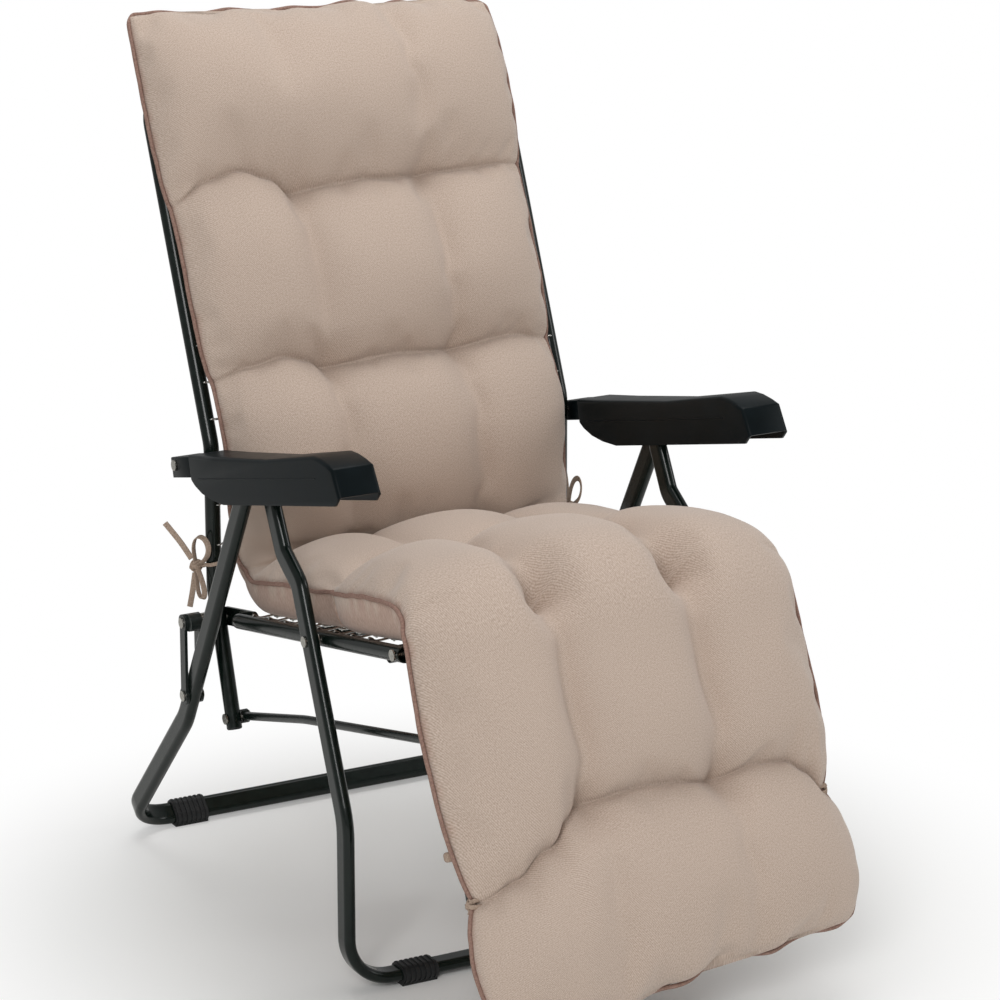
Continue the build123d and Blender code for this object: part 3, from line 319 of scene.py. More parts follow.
def make_lug(side, low, high):
    # The lug is a channel that reaches back past the tube, with the rivet through it.
    tube_side = min(abs(low.x), abs(high.x)) + lug_inset
    outer_side = max(abs(low.x), abs(high.x)) - arm_wall
    sign = 1 if low.x > 0 else -1
    bm = bmesh.new()
    bmesh.ops.create_cube(bm, size=1.0)
    size = (arm_start + lug_over + arm_wall, lug_half + lug_shelf, outer_side - tube_side)
    bmesh.ops.scale(bm, verts=bm.verts, vec=size)
    middle = ((arm_start + arm_wall - lug_over) / 2, (lug_shelf - lug_half) / 2, 0)
    bmesh.ops.translate(bm, verts=bm.verts, vec=middle)
    open_end = [f for f in bm.faces if f.normal.y < -0.9]
    bmesh.ops.inset_region(bm, faces=open_end, thickness=arm_wall)
    bmesh.ops.translate(bm, verts=[v for f in open_end for v in f.verts],
                        vec=(0, lug_half + lug_shelf - 2 * arm_wall, 0))
    bmesh.ops.bevel(bm, geom=[e for e in bm.edges if e.calc_face_angle(0) > 1.0], offset=lug_round,
                    offset_type="OFFSET", segments=2, profile=0.5, affect="EDGES", material=-1)
    bm.transform(arm_place_matrix(sign * (outer_side + tube_side) / 2))
    sharpen(bm, 60)
    return new_piece(f"armrest_lug_{side}", bm, arm_plastic)


for side in ("right", "left"):
    node = f"armrest_{side}"
    low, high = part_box(node)
    for piece in (make_armrest(side, low, high), make_lug(side, low, high)):
        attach(piece, "armrests")
        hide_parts(node)

# Wire nets: rings of plated spring wire, joined by straight wires whose ends hook round
# them, and hooked into the tubes at each side. They carry the cushion.
ring_radius = 11.5 * mm
wire_radius = 1.5 * mm
wire_pitch = 46 * mm
hook_over = 3.2 * mm
hook_turns = (150, 128, 108, 100)    # degrees round the tube, from its inner side to its top
hook_tip = 96
net_margin = 10 * mm        # from the tube to where the rings may start
axis_drop = 5 * mm          # of the tubes' axes below the net
foot_axis_drop = 7 * mm
rail_radius = 10 * mm
foot_tube_radius = 9 * mm
wire, wire_shader = new_material("plated_spring_wire", Metallic=1.0)
wire_place = add_node(wire, "ShaderNodeTexCoord")
wire_mottle = add_node(wire, "ShaderNodeTexNoise", [("Vector", wire_place, "Object")], Scale=1 / (4 * mm))
wire_tone = colour_ramp(wire, wire_mottle, "Fac", [(0.3, "#A3A19C"), (0.7, "#D2D1CD")])
wire_gloss = grey_ramp(wire, wire_mottle, "Fac", 0.14, 0.26)
wire.node_tree.links.new(wire_tone.outputs["Color"], wire_shader.inputs["Base Color"])
wire.node_tree.links.new(wire_gloss.outputs["Result"], wire_shader.inputs["Roughness"])


def net_frame(node, along, outward):
    # The net's own axes, from the CAD sheet: where it starts, how long and how wide it is.
    points = [v.co for v in frame["nodes"][node].data.vertices]
    starts = [p.dot(along) for p in points]
    depth = [p.dot(outward) for p in points]
    half = max(abs(p.x) for p in points)
    middle = (min(depth) + max(depth)) / 2
    return min(starts), max(starts), half, middle


def ring_points(radius, count=8):
    angles = [2 * math.pi * i / count for i in range(count)]
    return [(radius * math.cos(a), radius * math.sin(a), 0) for a in angles]


def hooked_wire(start, end):
    # It passes over one ring, under the next, and each end curls round the ring's wire.
    axis = (end - start).normalized()
    up = Vector((0, 0, 1))
    reach = hook_over
    return [
        start + axis * reach - up * 2 * wire_radius,
        start - axis * reach * 0.6 - up * 1.6 * wire_radius,
        start - axis * reach * 0.6 + up * 1.6 * wire_radius,
        start + axis * reach * 1.4 + up * 1.5 * wire_radius,
        start + axis * reach * 3,
        end - axis * reach * 3,
        end - axis * reach * 1.4 + up * 1.5 * wire_radius,
        end + axis * reach * 0.6 + up * 1.6 * wire_radius,
        end + axis * reach * 0.6 - up * 1.6 * wire_radius,
        end - axis * reach - up * 2 * wire_radius,
    ]


def tube_hook(sign, ring_edge, tube_x, tube_radius, drop):
    # From the outermost ring the wire runs to the tube and hooks into a hole in its top.
    around = tube_radius + wire_radius
    start = Vector((0, sign * ring_edge, 0))
    points = [
        start - Vector((0, sign * hook_over, 2 * wire_radius)),
        start + Vector((0, -sign * hook_over, 1.6 * wire_radius)),
        start + Vector((0, sign * hook_over * 2, 1.2 * wire_radius)),
    ]
    turns = [(degrees, around) for degrees in hook_turns] + [(hook_tip, tube_radius - hook_over)]
    for degrees, reach in turns:
        angle = math.radians(degrees)
        points.append(Vector((0, sign * (tube_x + reach * math.cos(angle)), reach * math.sin(angle) - drop)))
    return points


def make_net(name, node, body, along, outward, tube_x, tube_radius, drop):
    start, end, half, middle = net_frame(node, along, outward)
    length = end - start
    side = tube_x - tube_radius - net_margin
    columns = round(2 * side / wire_pitch)
    pitch_y = 2 * side / columns
    rows = max(1, round((length - 2 * ring_radius) / wire_pitch))
    pitch_x = (length - ring_radius) / rows
    ring = swept(ring_points(ring_radius), wire_radius, closed=True)
    bm = bmesh.new()
    row_places = [ring_radius + pitch_x * i for i in range(rows)]
    column_places = [-side + pitch_y * (i + 0.5) for i in range(columns)]
    for x in row_places:
        for y in column_places:
            verts = add_mesh(bm, ring.copy())
            bmesh.ops.translate(bm, verts=verts, vec=(x, y, 0))
        for y, next_y in zip(column_places[:-1], column_places[1:]):
            a, b = Vector((x, y + ring_radius, 0)), Vector((x, next_y - ring_radius, 0))
            add_mesh(bm, swept(hooked_wire(a, b), wire_radius, sides=4))
        for sign in (-1, 1):
            hook = tube_hook(sign, column_places[-1] + ring_radius, tube_x, tube_radius, drop)
            verts = add_mesh(bm, swept(hook, wire_radius, sides=4))
            bmesh.ops.translate(bm, verts=verts, vec=(x, 0, 0))
    for y in column_places:
        for x, next_x in zip(row_places[:-1], row_places[1:]):
            a, b = Vector((x + ring_radius, y, 0)), Vector((next_x - ring_radius, y, 0))
            add_mesh(bm, swept(hooked_wire(a, b), wire_radius, sides=4))
    matrix = Matrix((along, outward.cross(along), outward)).transposed().to_4x4()
    matrix.translation = along * start + outward * middle
    bm.transform(matrix)
    bmesh.ops.recalc_face_normals(bm, faces=bm.faces)
    piece = new_piece(name, bm, wire)
    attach(piece, body)
    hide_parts(node)
    return piece


rail_x = 254 * mm
foot_rail_x = max(abs(c.x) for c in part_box("footrest_frame")) - foot_tube_radius
seat_along = (pivots["footrest_lift"] - pivots["recline"]).normalized()
seat_out = Vector((0, seat_along.z, -seat_along.y))
back_lean = math.radians(23.1)
back_along = Vector((0, math.sin(back_lean), math.cos(back_lean)))
back_out = Vector((0, -back_along.z, back_along.y))
foot_lean = math.radians(24.4)
foot_along = Vector((0, -math.sin(foot_lean), -math.cos(foot_lean)))
foot_out = Vector((0, foot_along.z, -foot_along.y))
up_along = Vector((0, 0, 1))
up_out = Vector((0, -1, 0))
make_net("seat_wire_net", "seat_net", "seat", seat_along, seat_out, rail_x, rail_radius, axis_drop)
make_net("back_wire_net_low", "back_net_lower", "back", up_along, up_out, rail_x, rail_radius, axis_drop)
make_net("back_wire_net_high", "back_net_upper", "back", back_along, back_out, rail_x, rail_radius, axis_drop)
make_net("footrest_wire_net", "footrest_net", "footrest", foot_along, foot_out, foot_rail_x, foot_tube_radius,
         foot_axis_drop)

# Cushion: one long pad of polyester wadding in a woven cover, quilted by sewn rows with two
# tufts each. Its top panel meets a side band at a piped seam. It is made as two pads that
# meet in the row at the middle of the seat, because one bends at the hip and one at the knee.
twill_pitch = 1.8 * mm      # coarser than it is, so that the weave shows
pad_mid = 42 * mm           # of the pad's middle line above its back face
pad_out = 7.2 * mm          # of the back face from the tube axes
knee_out = 10.5 * mm
back_bend_up = 590 * mm
head_reach = 544 * mm       # from the bend of the back to the pad's top
foot_reach = 425 * mm
hip_round = 44 * mm
knee_round = 62 * mm
bend_round = 200 * mm
row_pitch = 235 * mm
tuft_x = 91 * mm
across_count = 74
pillow_count = 28
inflate_frames = 14
inflate_most = 20 * mm
cover_slack = 0.025         # the cover is cut this much larger than the shape it fills
filling_pressure = 3.0


def turned(vector):
    return Vector((0, vector.z, -vector.y))


def crossing(a, a_way, b, b_way):
    # Where two lines of the side profile meet.
    side = a_way.y * b_way.z - a_way.z * b_way.y
    along = ((b.y - a.y) * b_way.z - (b.z - a.z) * b_way.y) / side
    return a + a_way * along


class PadLine:
    # The pad's middle line: straight runs joined by arcs, counted from the head.
    def __init__(self, corners, radii):
        self.runs = []
        self.middles = []
        here = corners[0]
        total = 0.0
        for before, corner, after, radius in zip(corners[:-2], corners[1:-1], corners[2:], radii):
            way_in = (corner - before).normalized()
            way_out = (after - corner).normalized()
            turn = way_in.angle(way_out)
            cut = radius * math.tan(turn / 2)
            arc_start = corner - way_in * cut
            run = (arc_start - here).length
            self.runs.append((total, run, here, way_in, 0.0))
            total += run
            bend = math.copysign(turn, way_in.y * way_out.z - way_in.z * way_out.y)
            self.runs.append((total, radius * turn, arc_start, way_in, bend))
            self.middles.append(total + radius * turn / 2)
            total += radius * turn
            here = corner + way_out * cut
        way = (corners[-1] - here).normalized()
        self.runs.append((total, (corners[-1] - here).length, here, way, 0.0))
        self.length = total + self.runs[-1][1]

    def at(self, place):
        start, run, point, way, bend = [r for r in self.runs if r[0] <= max(place, 0.0)][-1]
        gone = place - start
        if not bend:
            return point + way * gone, way
        radius = run / abs(bend)
        centre = point - turned(way) * math.copysign(radius, bend)
        rotated = Matrix.Rotation(bend * gone / run, 3, "X")
        return centre + rotated @ (point - centre), rotated @ way


post_y = pivots["arm_fold"].y
bend_point = Vector((0, post_y, back_bend_up))
down = Vector((0, 0, -1))
lean_down = -back_along
head_line = bend_point + turned(lean_down) * (pad_out + pad_mid) - lean_down * head_reach
post_line = bend_point + turned(down) * (pad_out + pad_mid)
seat_line = pivots["recline"] + turned(seat_along) * (pad_out + pad_mid)
seat_end = pivots["footrest_lift"] + turned(seat_along) * (knee_out + pad_mid)
foot_line = pivots["footrest_lift"] + turned(foot_along) * (knee_out + pad_mid)
seat_way = (seat_end - seat_line).normalized()
pad_corners = [
    head_line,
    crossing(head_line, lean_down, post_line, down),
    crossing(post_line, down, seat_line, seat_way),
    crossing(seat_line, seat_way, foot_line, foot_along),
    foot_line + foot_along * foot_reach,
]
pad_line = PadLine(pad_corners, [bend_round, hip_round, knee_round])
hip_place, knee_place = pad_line.middles[1], pad_line.middles[2]
# A row is (place, height between its tufts, depth of its tufts, seam height, half width).
rows = [
    (0.0, 16 * mm, 0.0, 10 * mm, 252 * mm),
    (row_pitch, 46 * mm, 24 * mm, 16 * mm, 251 * mm),
    (2 * row_pitch - 4 * mm, 46 * mm, 26 * mm, 18 * mm, 240 * mm),
    (hip_place, 52 * mm, 18 * mm, 34 * mm, 236 * mm),
    (knee_place - row_pitch, 56 * mm, 30 * mm, 46 * mm, 240 * mm),
    (knee_place, 104 * mm, 80 * mm, 30 * mm, 259 * mm),
    (knee_place + row_pitch + 14 * mm, 50 * mm, 30 * mm, 16 * mm, 240 * mm),
    (pad_line.length, 16 * mm, 0.0, 10 * mm, 236 * mm),
]
# A crest is (height, half width, depth of its column grooves, seam height).
crests = [
    (98 * mm, 260 * mm, 8 * mm, 22 * mm),
    (100 * mm, 250 * mm, 24 * mm, 22 * mm),
    (98 * mm, 243 * mm, 24 * mm, 24 * mm),
    (97 * mm, 245 * mm, 22 * mm, 46 * mm),
    (108 * mm, 254 * mm, 40 * mm, 50 * mm),
    (104 * mm, 266 * mm, 40 * mm, 24 * mm),
    (90 * mm, 264 * mm, 12 * mm, 20 * mm),
]
# Where a sewn row or an end leaves its straight line: (across, along), in millimetres.
row_shapes = {
    0: [(-250, -16), (-120, -11), (0, -3), (120, 0), (250, 4)],
    1: [(-250, 0), (-205, -22), (-165, -30), (-125, -16), (-91, 4), (0, 0), (91, 0), (170, -2), (250, -4)],
    2: [(-240, 0), (-200, -10), (-150, -16), (-115, -8), (-91, 3), (0, -3), (91, 0), (165, -7), (240, 0)],
    4: [(-240, 4), (-150, -8), (-91, 0), (0, -6), (91, 0), (150, -6), (240, 4)],
    6: [(-240, 88), (-200, 72), (-150, 42), (-115, 12), (-91, -3), (0, -6), (91, 0), (150, -10), (190, -6),
        (215, 10), (240, 38)],
    7: [(-240, 26), (-130, 34), (-20, 20), (60, -4), (130, 2), (200, -8), (240, -14)],
}
# How far the pad lies to the side, at shares of its length from the head.
sways = [(0.0, -13 * mm), (0.14, -9 * mm), (0.28, -7 * mm), (0.4, 0.0), (0.8, 0.0), (1.0, 12 * mm)]
crown_power = 2.6
swell_power = 0.5
groove_wide = 21 * mm
groove_power = 1.3
row_wave = 3 * mm
end_wave = 9 * mm
seam_wave = 2.4 * mm
seam_wave_long = 36 * mm
seam_wave_short = 15 * mm
band_under = 16 * mm        # how far the side band curves under
tufted_only = 5             # the row over the knee has tufts but no seam
tuft_hold = 5 * mm          # the cover is held this far round a tuft
seam_hold = 1 * mm


def ripple(x, y, seed):
    return noise.noise(Vector((x, y, seed)))


def row_bend(index, x):
    # A sewn row is held at its tufts, and wanders between them. An end waves more.
    shape = row_shapes.get(index, [(-250, 0), (250, 0)])
    if index in (0, len(rows) - 1):
        wave = end_wave * ripple(x / (45 * mm), index * 3.7, 0.4)
    else:
        wave = row_wave * ripple(x / (50 * mm), index * 3.7, 0.4)
    x = min(max(x / mm, shape[0][0]), shape[-1][0])
    for (x0, y0), (x1, y1) in zip(shape[:-1], shape[1:]):
        if x0 <= x <= x1:
            turn = (1 - math.cos(math.pi * (x - x0) / (x1 - x0))) / 2
            return (y0 + (y1 - y0) * turn) * mm + wave


def row_share(place):
    # The pillow that a place is in, and how far it is along it.
    index = max(i for i in range(len(rows) - 1) if rows[i][0] <= place + 1e-9)
    span = rows[index + 1][0] - rows[index][0]
    return index, span, min(1.0, max(0.0, (place - rows[index][0]) / span))


def bent(place, x):
    # The place along the pad where the rows' bends take a point of the straight pad.
    index, span, share = row_share(place)
    return place + row_bend(index, x) * (1 - share) + row_bend(index + 1, x) * share


def pad_profile(place):
    # Everything that depends only on the place along the pad.
    index, span, share = row_share(place)
    here, there, crest = rows[index], rows[index + 1], crests[index]
    swell = math.sin(math.pi * share) ** swell_power if 0 < share < 1 else 0.0
    between = [a + (b - a) * share for a, b in zip(here, there)]
    near = here if share < 0.5 else there
    near_row = math.exp(-(min(share, 1 - share) * span / (26 * mm)) ** 2)
    height = between[1] + (crest[0] - between[1]) * swell
    seam = between[3] + (crest[3] - between[3]) * swell
    half = between[4] + (crest[1] - between[4]) * swell
    dip = crest[2] * swell + near[2] * near_row
    wide = groove_wide * (1 + 0.45 * (1 - near_row))
    return height, seam, half, dip, wide, near_row


def top_height(place, x, profile):
    height, seam, half, dip, wide, near_row = profile
    height -= dip * math.exp(-abs((abs(x) - tuft_x) / wide) ** groove_power)
    across = min(1.0, abs(x) / half)
    rounded = (1 - across ** crown_power) ** 0.5
    # Fine gathers run out from each row, and the filling is a little uneven.
    gather = 1.4 * mm * near_row * ripple(x / (11 * mm), place / (60 * mm), 5.0)
    uneven = 3.0 * mm * ripple(x / (85 * mm), place / (85 * mm), 9.0)
    return seam + (height - seam + gather + uneven) * rounded


def pad_point(place, x, height):
    # The pad lies a little askew on the chair.
    point, way = pad_line.at(place)
    share = min(max(place / pad_line.length, 0.0), 1.0)
    for (share_0, sway_0), (share_1, sway_1) in zip(sways[:-1], sways[1:]):
        if share_0 <= share <= share_1:
            sway = sway_0 + (sway_1 - sway_0) * (share - share_0) / (share_1 - share_0)
    return point + turned(way) * (height - pad_mid) + Vector((x + sway, 0, 0))


def seam_ripple(place, sign):
    long_wave = ripple(place / seam_wave_long, sign * 5.1, 2.2)
    return seam_wave * (long_wave + 0.5 * ripple(place / seam_wave_short, sign * 9.3, 7.7))


def seam_point(place, sign, out=0.0):
    seam, half = pad_profile(place)[1:3]
    across = sign * (half + out)
    return pad_point(bent(place, across), across, seam + seam_ripple(place, sign))


def crowd(share):
    # Closer together near the rows, where the cover turns sharply.
    return 0.6 * (1 - math.cos(math.pi * share)) / 2 + 0.4 * share


def make_pad(name, first, last):
    spans = last - first
    count = spans * pillow_count
    bm = bmesh.new()
    uv_layer = bm.loops.layers.uv.new("cover")
    under_layer = bm.verts.layers.float.new("side_band")
    held_layer = bm.verts.layers.float.new("held")
    crease_layer = bm.edges.layers.float.new("crease_edge")
    flat = {}
    creased = set()
    for is_under in (False, True):
        made = bmesh.ops.create_grid(bm, x_segments=across_count, y_segments=count, size=1.0)["verts"]
        for vert in made:
            u, v = vert.co.x, (vert.co.y + 1) / 2 * spans
            index = min(int(v + 1e-6), spans - 1)
            share = crowd(min(1.0, max(0.0, v - index)))
            row_a, row_b = first + index, first + index + 1
            plain = rows[row_a][0] + (rows[row_b][0] - rows[row_a][0]) * share
            profile = pad_profile(plain)
            seam, half = profile[1:3]
            x_share = 0.55 * u + 0.45 * math.sin(u * math.pi / 2)
            x = half * x_share
            wave = seam_ripple(plain, math.copysign(1.0, u)) * abs(x_share) ** 12
            if is_under:
                rim = max(0.0, 1 - (half - abs(x)) / band_under)
                height = (seam + wave) * (1 - (1 - rim ** 2) ** 0.5)
            else:
                height = top_height(plain, x, profile) + wave
            vert.co = pad_point(bent(plain, x), x, height)
            vert[under_layer] = 1.0 if is_under else 0.0
            from_row = min(share, 1 - share) * (rows[row_b][0] - rows[row_a][0])
            near_index = row_a if share < 0.5 else row_b
            sewn = (from_row < seam_hold and near_index != tufted_only) or abs(u) > 0.985
            at_tuft = from_row < tuft_hold and abs(abs(x) - tuft_x) < tuft_hold
            vert[held_layer] = 1.0 if is_under or sewn or at_tuft else 0.0
            if from_row < seam_hold and not is_under and near_index not in (0, tufted_only, len(rows) - 1):
                creased.add(vert)
            flat[vert] = (x * 1.1, plain)
    for face in bm.faces:
        for loop in face.loops:
            loop[uv_layer].uv = flat[loop.vert]
    for edge in bm.edges:
        edge[crease_layer] = 0.8 if creased.issuperset(edge.verts) else 0.0
    bmesh.ops.remove_doubles(bm, verts=bm.verts, dist=0.02 * mm)
    bmesh.ops.holes_fill(bm, edges=[e for e in bm.edges if e.is_boundary])
    bmesh.ops.recalc_face_normals(bm, faces=bm.faces)
    return new_piece(name, bm, cover)


def inflate(piece):
    # The filling presses the cover out between its seams, which stay where they are sewn.
    scene = bpy.context.scene
    mesh = piece.data
    held = piece.vertex_groups.new(name="held")
    entries = mesh.attributes["held"].data
    held.add([i for i, entry in enumerate(entries) if entry.value > 0.5], 1.0, "REPLACE")
    cloth = piece.modifiers.new("filling", "CLOTH")
    settings = cloth.settings
    settings.vertex_group_mass = "held"
    settings.quality = 4
    settings.mass = 0.2
    settings.air_damping = 4.0
    settings.tension_stiffness = 12
    settings.compression_stiffness = 12
    settings.shear_stiffness = 6
    settings.bending_stiffness = 4.0
    settings.tension_damping = 8
    settings.compression_damping = 8
    settings.shear_damping = 8
    settings.shrink_min = -cover_slack
    settings.use_pressure = True
    settings.uniform_pressure_force = filling_pressure
    settings.effector_weights.gravity = 0
    cloth.collision_settings.use_collision = False
    cloth.point_cache.frame_start = 1
    cloth.point_cache.frame_end = inflate_frames
    before = [v.co.copy() for v in mesh.vertices]
    for frame_number in range(1, inflate_frames + 1):
        scene.frame_set(frame_number)
    shaped = bpy.data.meshes.new_from_object(piece.evaluated_get(bpy.context.evaluated_depsgraph_get()))
    after = [v.co.copy() for v in shaped.vertices]
    piece.modifiers.remove(cloth)
    scene.frame_set(1)
    for vertex, old, new in zip(mesh.vertices, before, after):
        move = new - old
        vertex.co = old + move * min(1.0, inflate_most / max(move.length, 1e-9))


cover, cover_shader = new_material("woven_polyester_beige", Roughness=0.9, Sheen_Weight=0.2,
                                   Sheen_Roughness=0.5, Specular_IOR_Level=0.15)
cover_uv = add_node(cover, "ShaderNodeUVMap", uv_map="cover")
cover_turn = add_node(cover, "ShaderNodeMapping", [("Vector", cover_uv, "UV")])
cover_turn.inputs["Rotation"].default_value = (0, 0, math.radians(38))
twill = add_node(cover, "ShaderNodeTexWave", [("Vector", cover_turn, "Vector")], bands_direction="X",
                 Scale=math.pi / 10 / twill_pitch, Distortion=3.0, Detail=2.0, Detail_Scale=2.0)
fleck = add_node(cover, "ShaderNodeTexNoise", [("Vector", cover_uv, "UV")], Scale=1 / (1.8 * mm), Detail=3.0,
                 Roughness=0.7)
cloth_share = add_node(cover, "ShaderNodeMath", [(0, twill, "Fac"), (2, fleck, "Fac")],
                       operation="MULTIPLY_ADD")
cloth_share.inputs[1].default_value = 0.22
cloth_tone = colour_ramp(cover, cloth_share, 0, [(0.35, "#A08F81"), (0.6, "#B8A597"), (0.85, "#CDBDB0")])
cover_bump = add_node(cover, "ShaderNodeBump", [("Height", cloth_share, 0)], Strength=0.35,
                      Distance=0.5 * mm)
# The side band and the back face are pinker and darker than the top: the cloth's pinker tone,
# with painted shade on the faces that turn down, away from the light.
band_share = add_node(cover, "ShaderNodeAttribute", attribute_name="side_band")
band_tone = add_node(cover, "ShaderNodeMix", [("Factor", band_share, "Fac")], data_type="RGBA",
                     blend_type="MULTIPLY")
band_in, band_pink_and_shade = band_tone.inputs[6], band_tone.inputs[7]
# This colour is partly the cloth's pink and partly painted shade.
band_pink_and_shade.default_value = linear("#F0E2DE")
cover.node_tree.links.new(cloth_tone.outputs["Color"], band_in)
cover.node_tree.links.new(band_tone.outputs[2], cover_shader.inputs["Base Color"])
cover.node_tree.links.new(cover_bump.outputs["Normal"], cover_shader.inputs["Normal"])


def bend_with_chair(piece, is_upper):
    if is_upper:
        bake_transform(piece)
    else:
        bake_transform(piece)


pads = []
for name, first, last in (("cushion_upper", 0, 4), ("cushion_lower", 4, 7)):
    pad = make_pad(name, first, last)
    inflate(pad)
    smoother = pad.modifiers.new("smoother", "SUBSURF")
    smoother.levels = smoother.render_levels = 1
    bend_with_chair(pad, first == 0)
    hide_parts("cushion_back", "cushion_seat", "cushion_footrest")
    pads.append(pad)


# Piping: a cord in a bias strip of pinkish brown cloth, sewn into the cover's side seam and
# round both ends. It stands a little proud of the cover.
piping_radius = 2.8 * mm
piping_step = 7 * mm
piping_cloth, piping_shader = new_material("bias_cloth_pink_brown", Roughness=0.9, Specular_IOR_Level=0.15)
piping_place = add_node(piping_cloth, "ShaderNodeTexCoord")
piping_fleck = add_node(piping_cloth, "ShaderNodeTexNoise", [("Vector", piping_place, "Object")],
                        Scale=1 / (2.5 * mm), Detail=3.0)
piping_tone = colour_ramp(piping_cloth, piping_fleck, "Fac", [(0.3, "#7D6258"), (0.7, "#9C8074")])
piping_cloth.node_tree.links.new(piping_tone.outputs["Color"], piping_shader.inputs["Base Color"])


def steps_between(start, end, pitch):
    count = max(2, round(abs(end - start) / pitch))
    return [start + (end - start) * i / count for i in range(count + 1)]


def end_rim(row, sign):
    # Across an end of the pad, just above its wall, from one side to the other.
    place, height, dip, seam, half = rows[row]
    past = piping_radius * 0.35 * (-1 if row == 0 else 1)
    points = []
    for x in steps_between(-sign * (half - 6 * mm), sign * (half - 6 * mm), piping_step):
        top = top_height(place, x, pad_profile(place))
        points.append(pad_point(bent(place, x) + past, x, top * 0.75))
    return points


for name, first, last, end_row in (("piping_upper", 0, 4, 0), ("piping_lower", 4, 7, 7)):
    near, far = (rows[last][0], rows[first][0]) if end_row == 0 else (rows[first][0], rows[last][0])
    out = piping_radius * 0.3
    stop = far + (10 * mm if end_row == 0 else -10 * mm)
    path = [seam_point(place, -1, out) for place in steps_between(near, stop, piping_step)]
    path += end_rim(end_row, 1)
    path += [seam_point(place, 1, out) for place in steps_between(stop, near, piping_step)]
    bm = bmesh.new()
    add_mesh(bm, swept(path, piping_radius, sides=12))
    piece = new_piece(name, bm, piping_cloth)
    bend_with_chair(piece, first == 0)
    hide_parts("cushion_back" if first == 0 else "cushion_footrest")

# Tufts: knots of waxed thread, drawn dark brown as painted shade for the small pit round each
# tuft. Each is sewn right through the pad and draws the cover down on the wadding.
tuft_knot = 2.2 * mm
tuft_shade_thread, tuft_shade_thread_shader = new_material("tuft_thread_painted_shade", Roughness=0.7)
# The dark brown is painted shade: it stands for the shade in the pit at each tuft.
tuft_shade_thread_shader.inputs["Base Color"].default_value = linear("#6B5143")


def make_tufts(name, indices):
    bm = bmesh.new()
    for index in indices:
        place = rows[index][0]
        for x in (-tuft_x, tuft_x):
            height = top_height(place, x, pad_profile(place))
            matrix = Matrix.Translation(pad_point(bent(place, x), x, height))
            bmesh.ops.create_uvsphere(bm, u_segments=10, v_segments=6, radius=tuft_knot, matrix=matrix)
    return new_piece(name, bm, tuft_shade_thread)


for name, indices, is_upper in (("tufts_upper", (1, 2, 3, 4), True), ("tufts_lower", (5, 6), False)):
    piece = make_tufts(name, indices)
    bend_with_chair(piece, is_upper)
    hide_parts("cushion_back" if is_upper else "cushion_footrest")

# Ties: flat ribbons of the cover's cloth, sewn into the side seam. The upper pair goes round
# the back tubes and is tied in a bow with two loose ends, the lower pair in a plain knot.
ribbon_thick = 1.8 * mm
tie_wide = 7.5 * mm
band_wide = 5 * mm
band_reach = 12.2 * mm      # of the band round the back tube, from the tube's axis
bow_knot = 15 * mm
bow_middle = Vector((274 * mm, post_y + 11 * mm, 431 * mm))
# Routes are (outboard, back, up) from the middle of the bow.
tail_routes = {
    "upper": [(3, 7, 8), (8.4, 19.6, 22.4), (14.5, 35, 35.5), (20, 50, 46.5)],
    "lower": [(0.5, 2.5, -10.7), (1.2, 6, -25.7), (3, 8, -41.5), (6, 9, -57)],
}
loop_routes = [
    [(0, 0, 2), (3, 2, 20), (4, -6, 38), (3, -20, 46), (0, -34, 43), (-2, -38, 30), (-1, -26, 13),
     (0, -3, 1)],
    [(1, 0, -3), (2, -6, -18), (4, -15, -33), (4, -26, -38), (2, -31, -31), (1, -22, -15), (0, -4, -2)],
]
ribbon, ribbon_shader = new_material("tie_ribbon_cloth", Roughness=0.9, Specular_IOR_Level=0.15)
ribbon_place = add_node(ribbon, "ShaderNodeTexCoord")
ribbon_fleck = add_node(ribbon, "ShaderNodeTexNoise", [("Vector", ribbon_place, "Object")],
                        Scale=1 / (1.8 * mm), Detail=3.0)
ribbon_tone = colour_ramp(ribbon, ribbon_fleck, "Fac", [(0.3, "#8F7C6D"), (0.7, "#B3A090")])
ribbon.node_tree.links.new(ribbon_tone.outputs["Color"], ribbon_shader.inputs["Base Color"])


def ribbon_curve(name, points, wide, tilt=0.0):
    curve = bpy.data.curves.new(name, "CURVE")
    curve.dimensions = "3D"
    curve.extrude = wide / 2 - ribbon_thick / 2
    curve.bevel_depth = ribbon_thick / 2
    curve.bevel_resolution = 1
    curve.use_fill_caps = True
    curve.resolution_u = 6
    spline = curve.splines.new("NURBS")
    spline.points.add(len(points) - 1)
    for control, point in zip(spline.points, points):
        control.co = (*point, 1.0)
        control.tilt = tilt
    spline.order_u = 3
    spline.use_endpoint_u = True
    curve.materials.append(ribbon)
    piece = bpy.data.objects.new(name, curve)
    bpy.context.scene.collection.objects.link(piece)
    return piece


def ribbon_mesh(bm, points, wide, tilt=0.0):
    piece = ribbon_curve("strand", points, wide, tilt)
    mesh = bpy.data.meshes.new_from_object(piece)
    bpy.data.objects.remove(piece)
    return add_mesh(bm, mesh)


def knot_lump(bm, middle, size):
    # Three turns of ribbon over each other.
    for tilt in (0.0, 1.1, 2.2):
        turn = Matrix.Rotation(tilt, 3, "X") @ Matrix.Rotation(0.5 * tilt, 3, "Z")
        angles = [2 * math.pi * i / 8 for i in range(9)]
        oval = [Vector((0.5 * size * math.cos(a), 0.42 * size * math.sin(a), 0)) for a in angles]
        ribbon_mesh(bm, [middle + turn @ point for point in oval], tie_wide * 0.8)


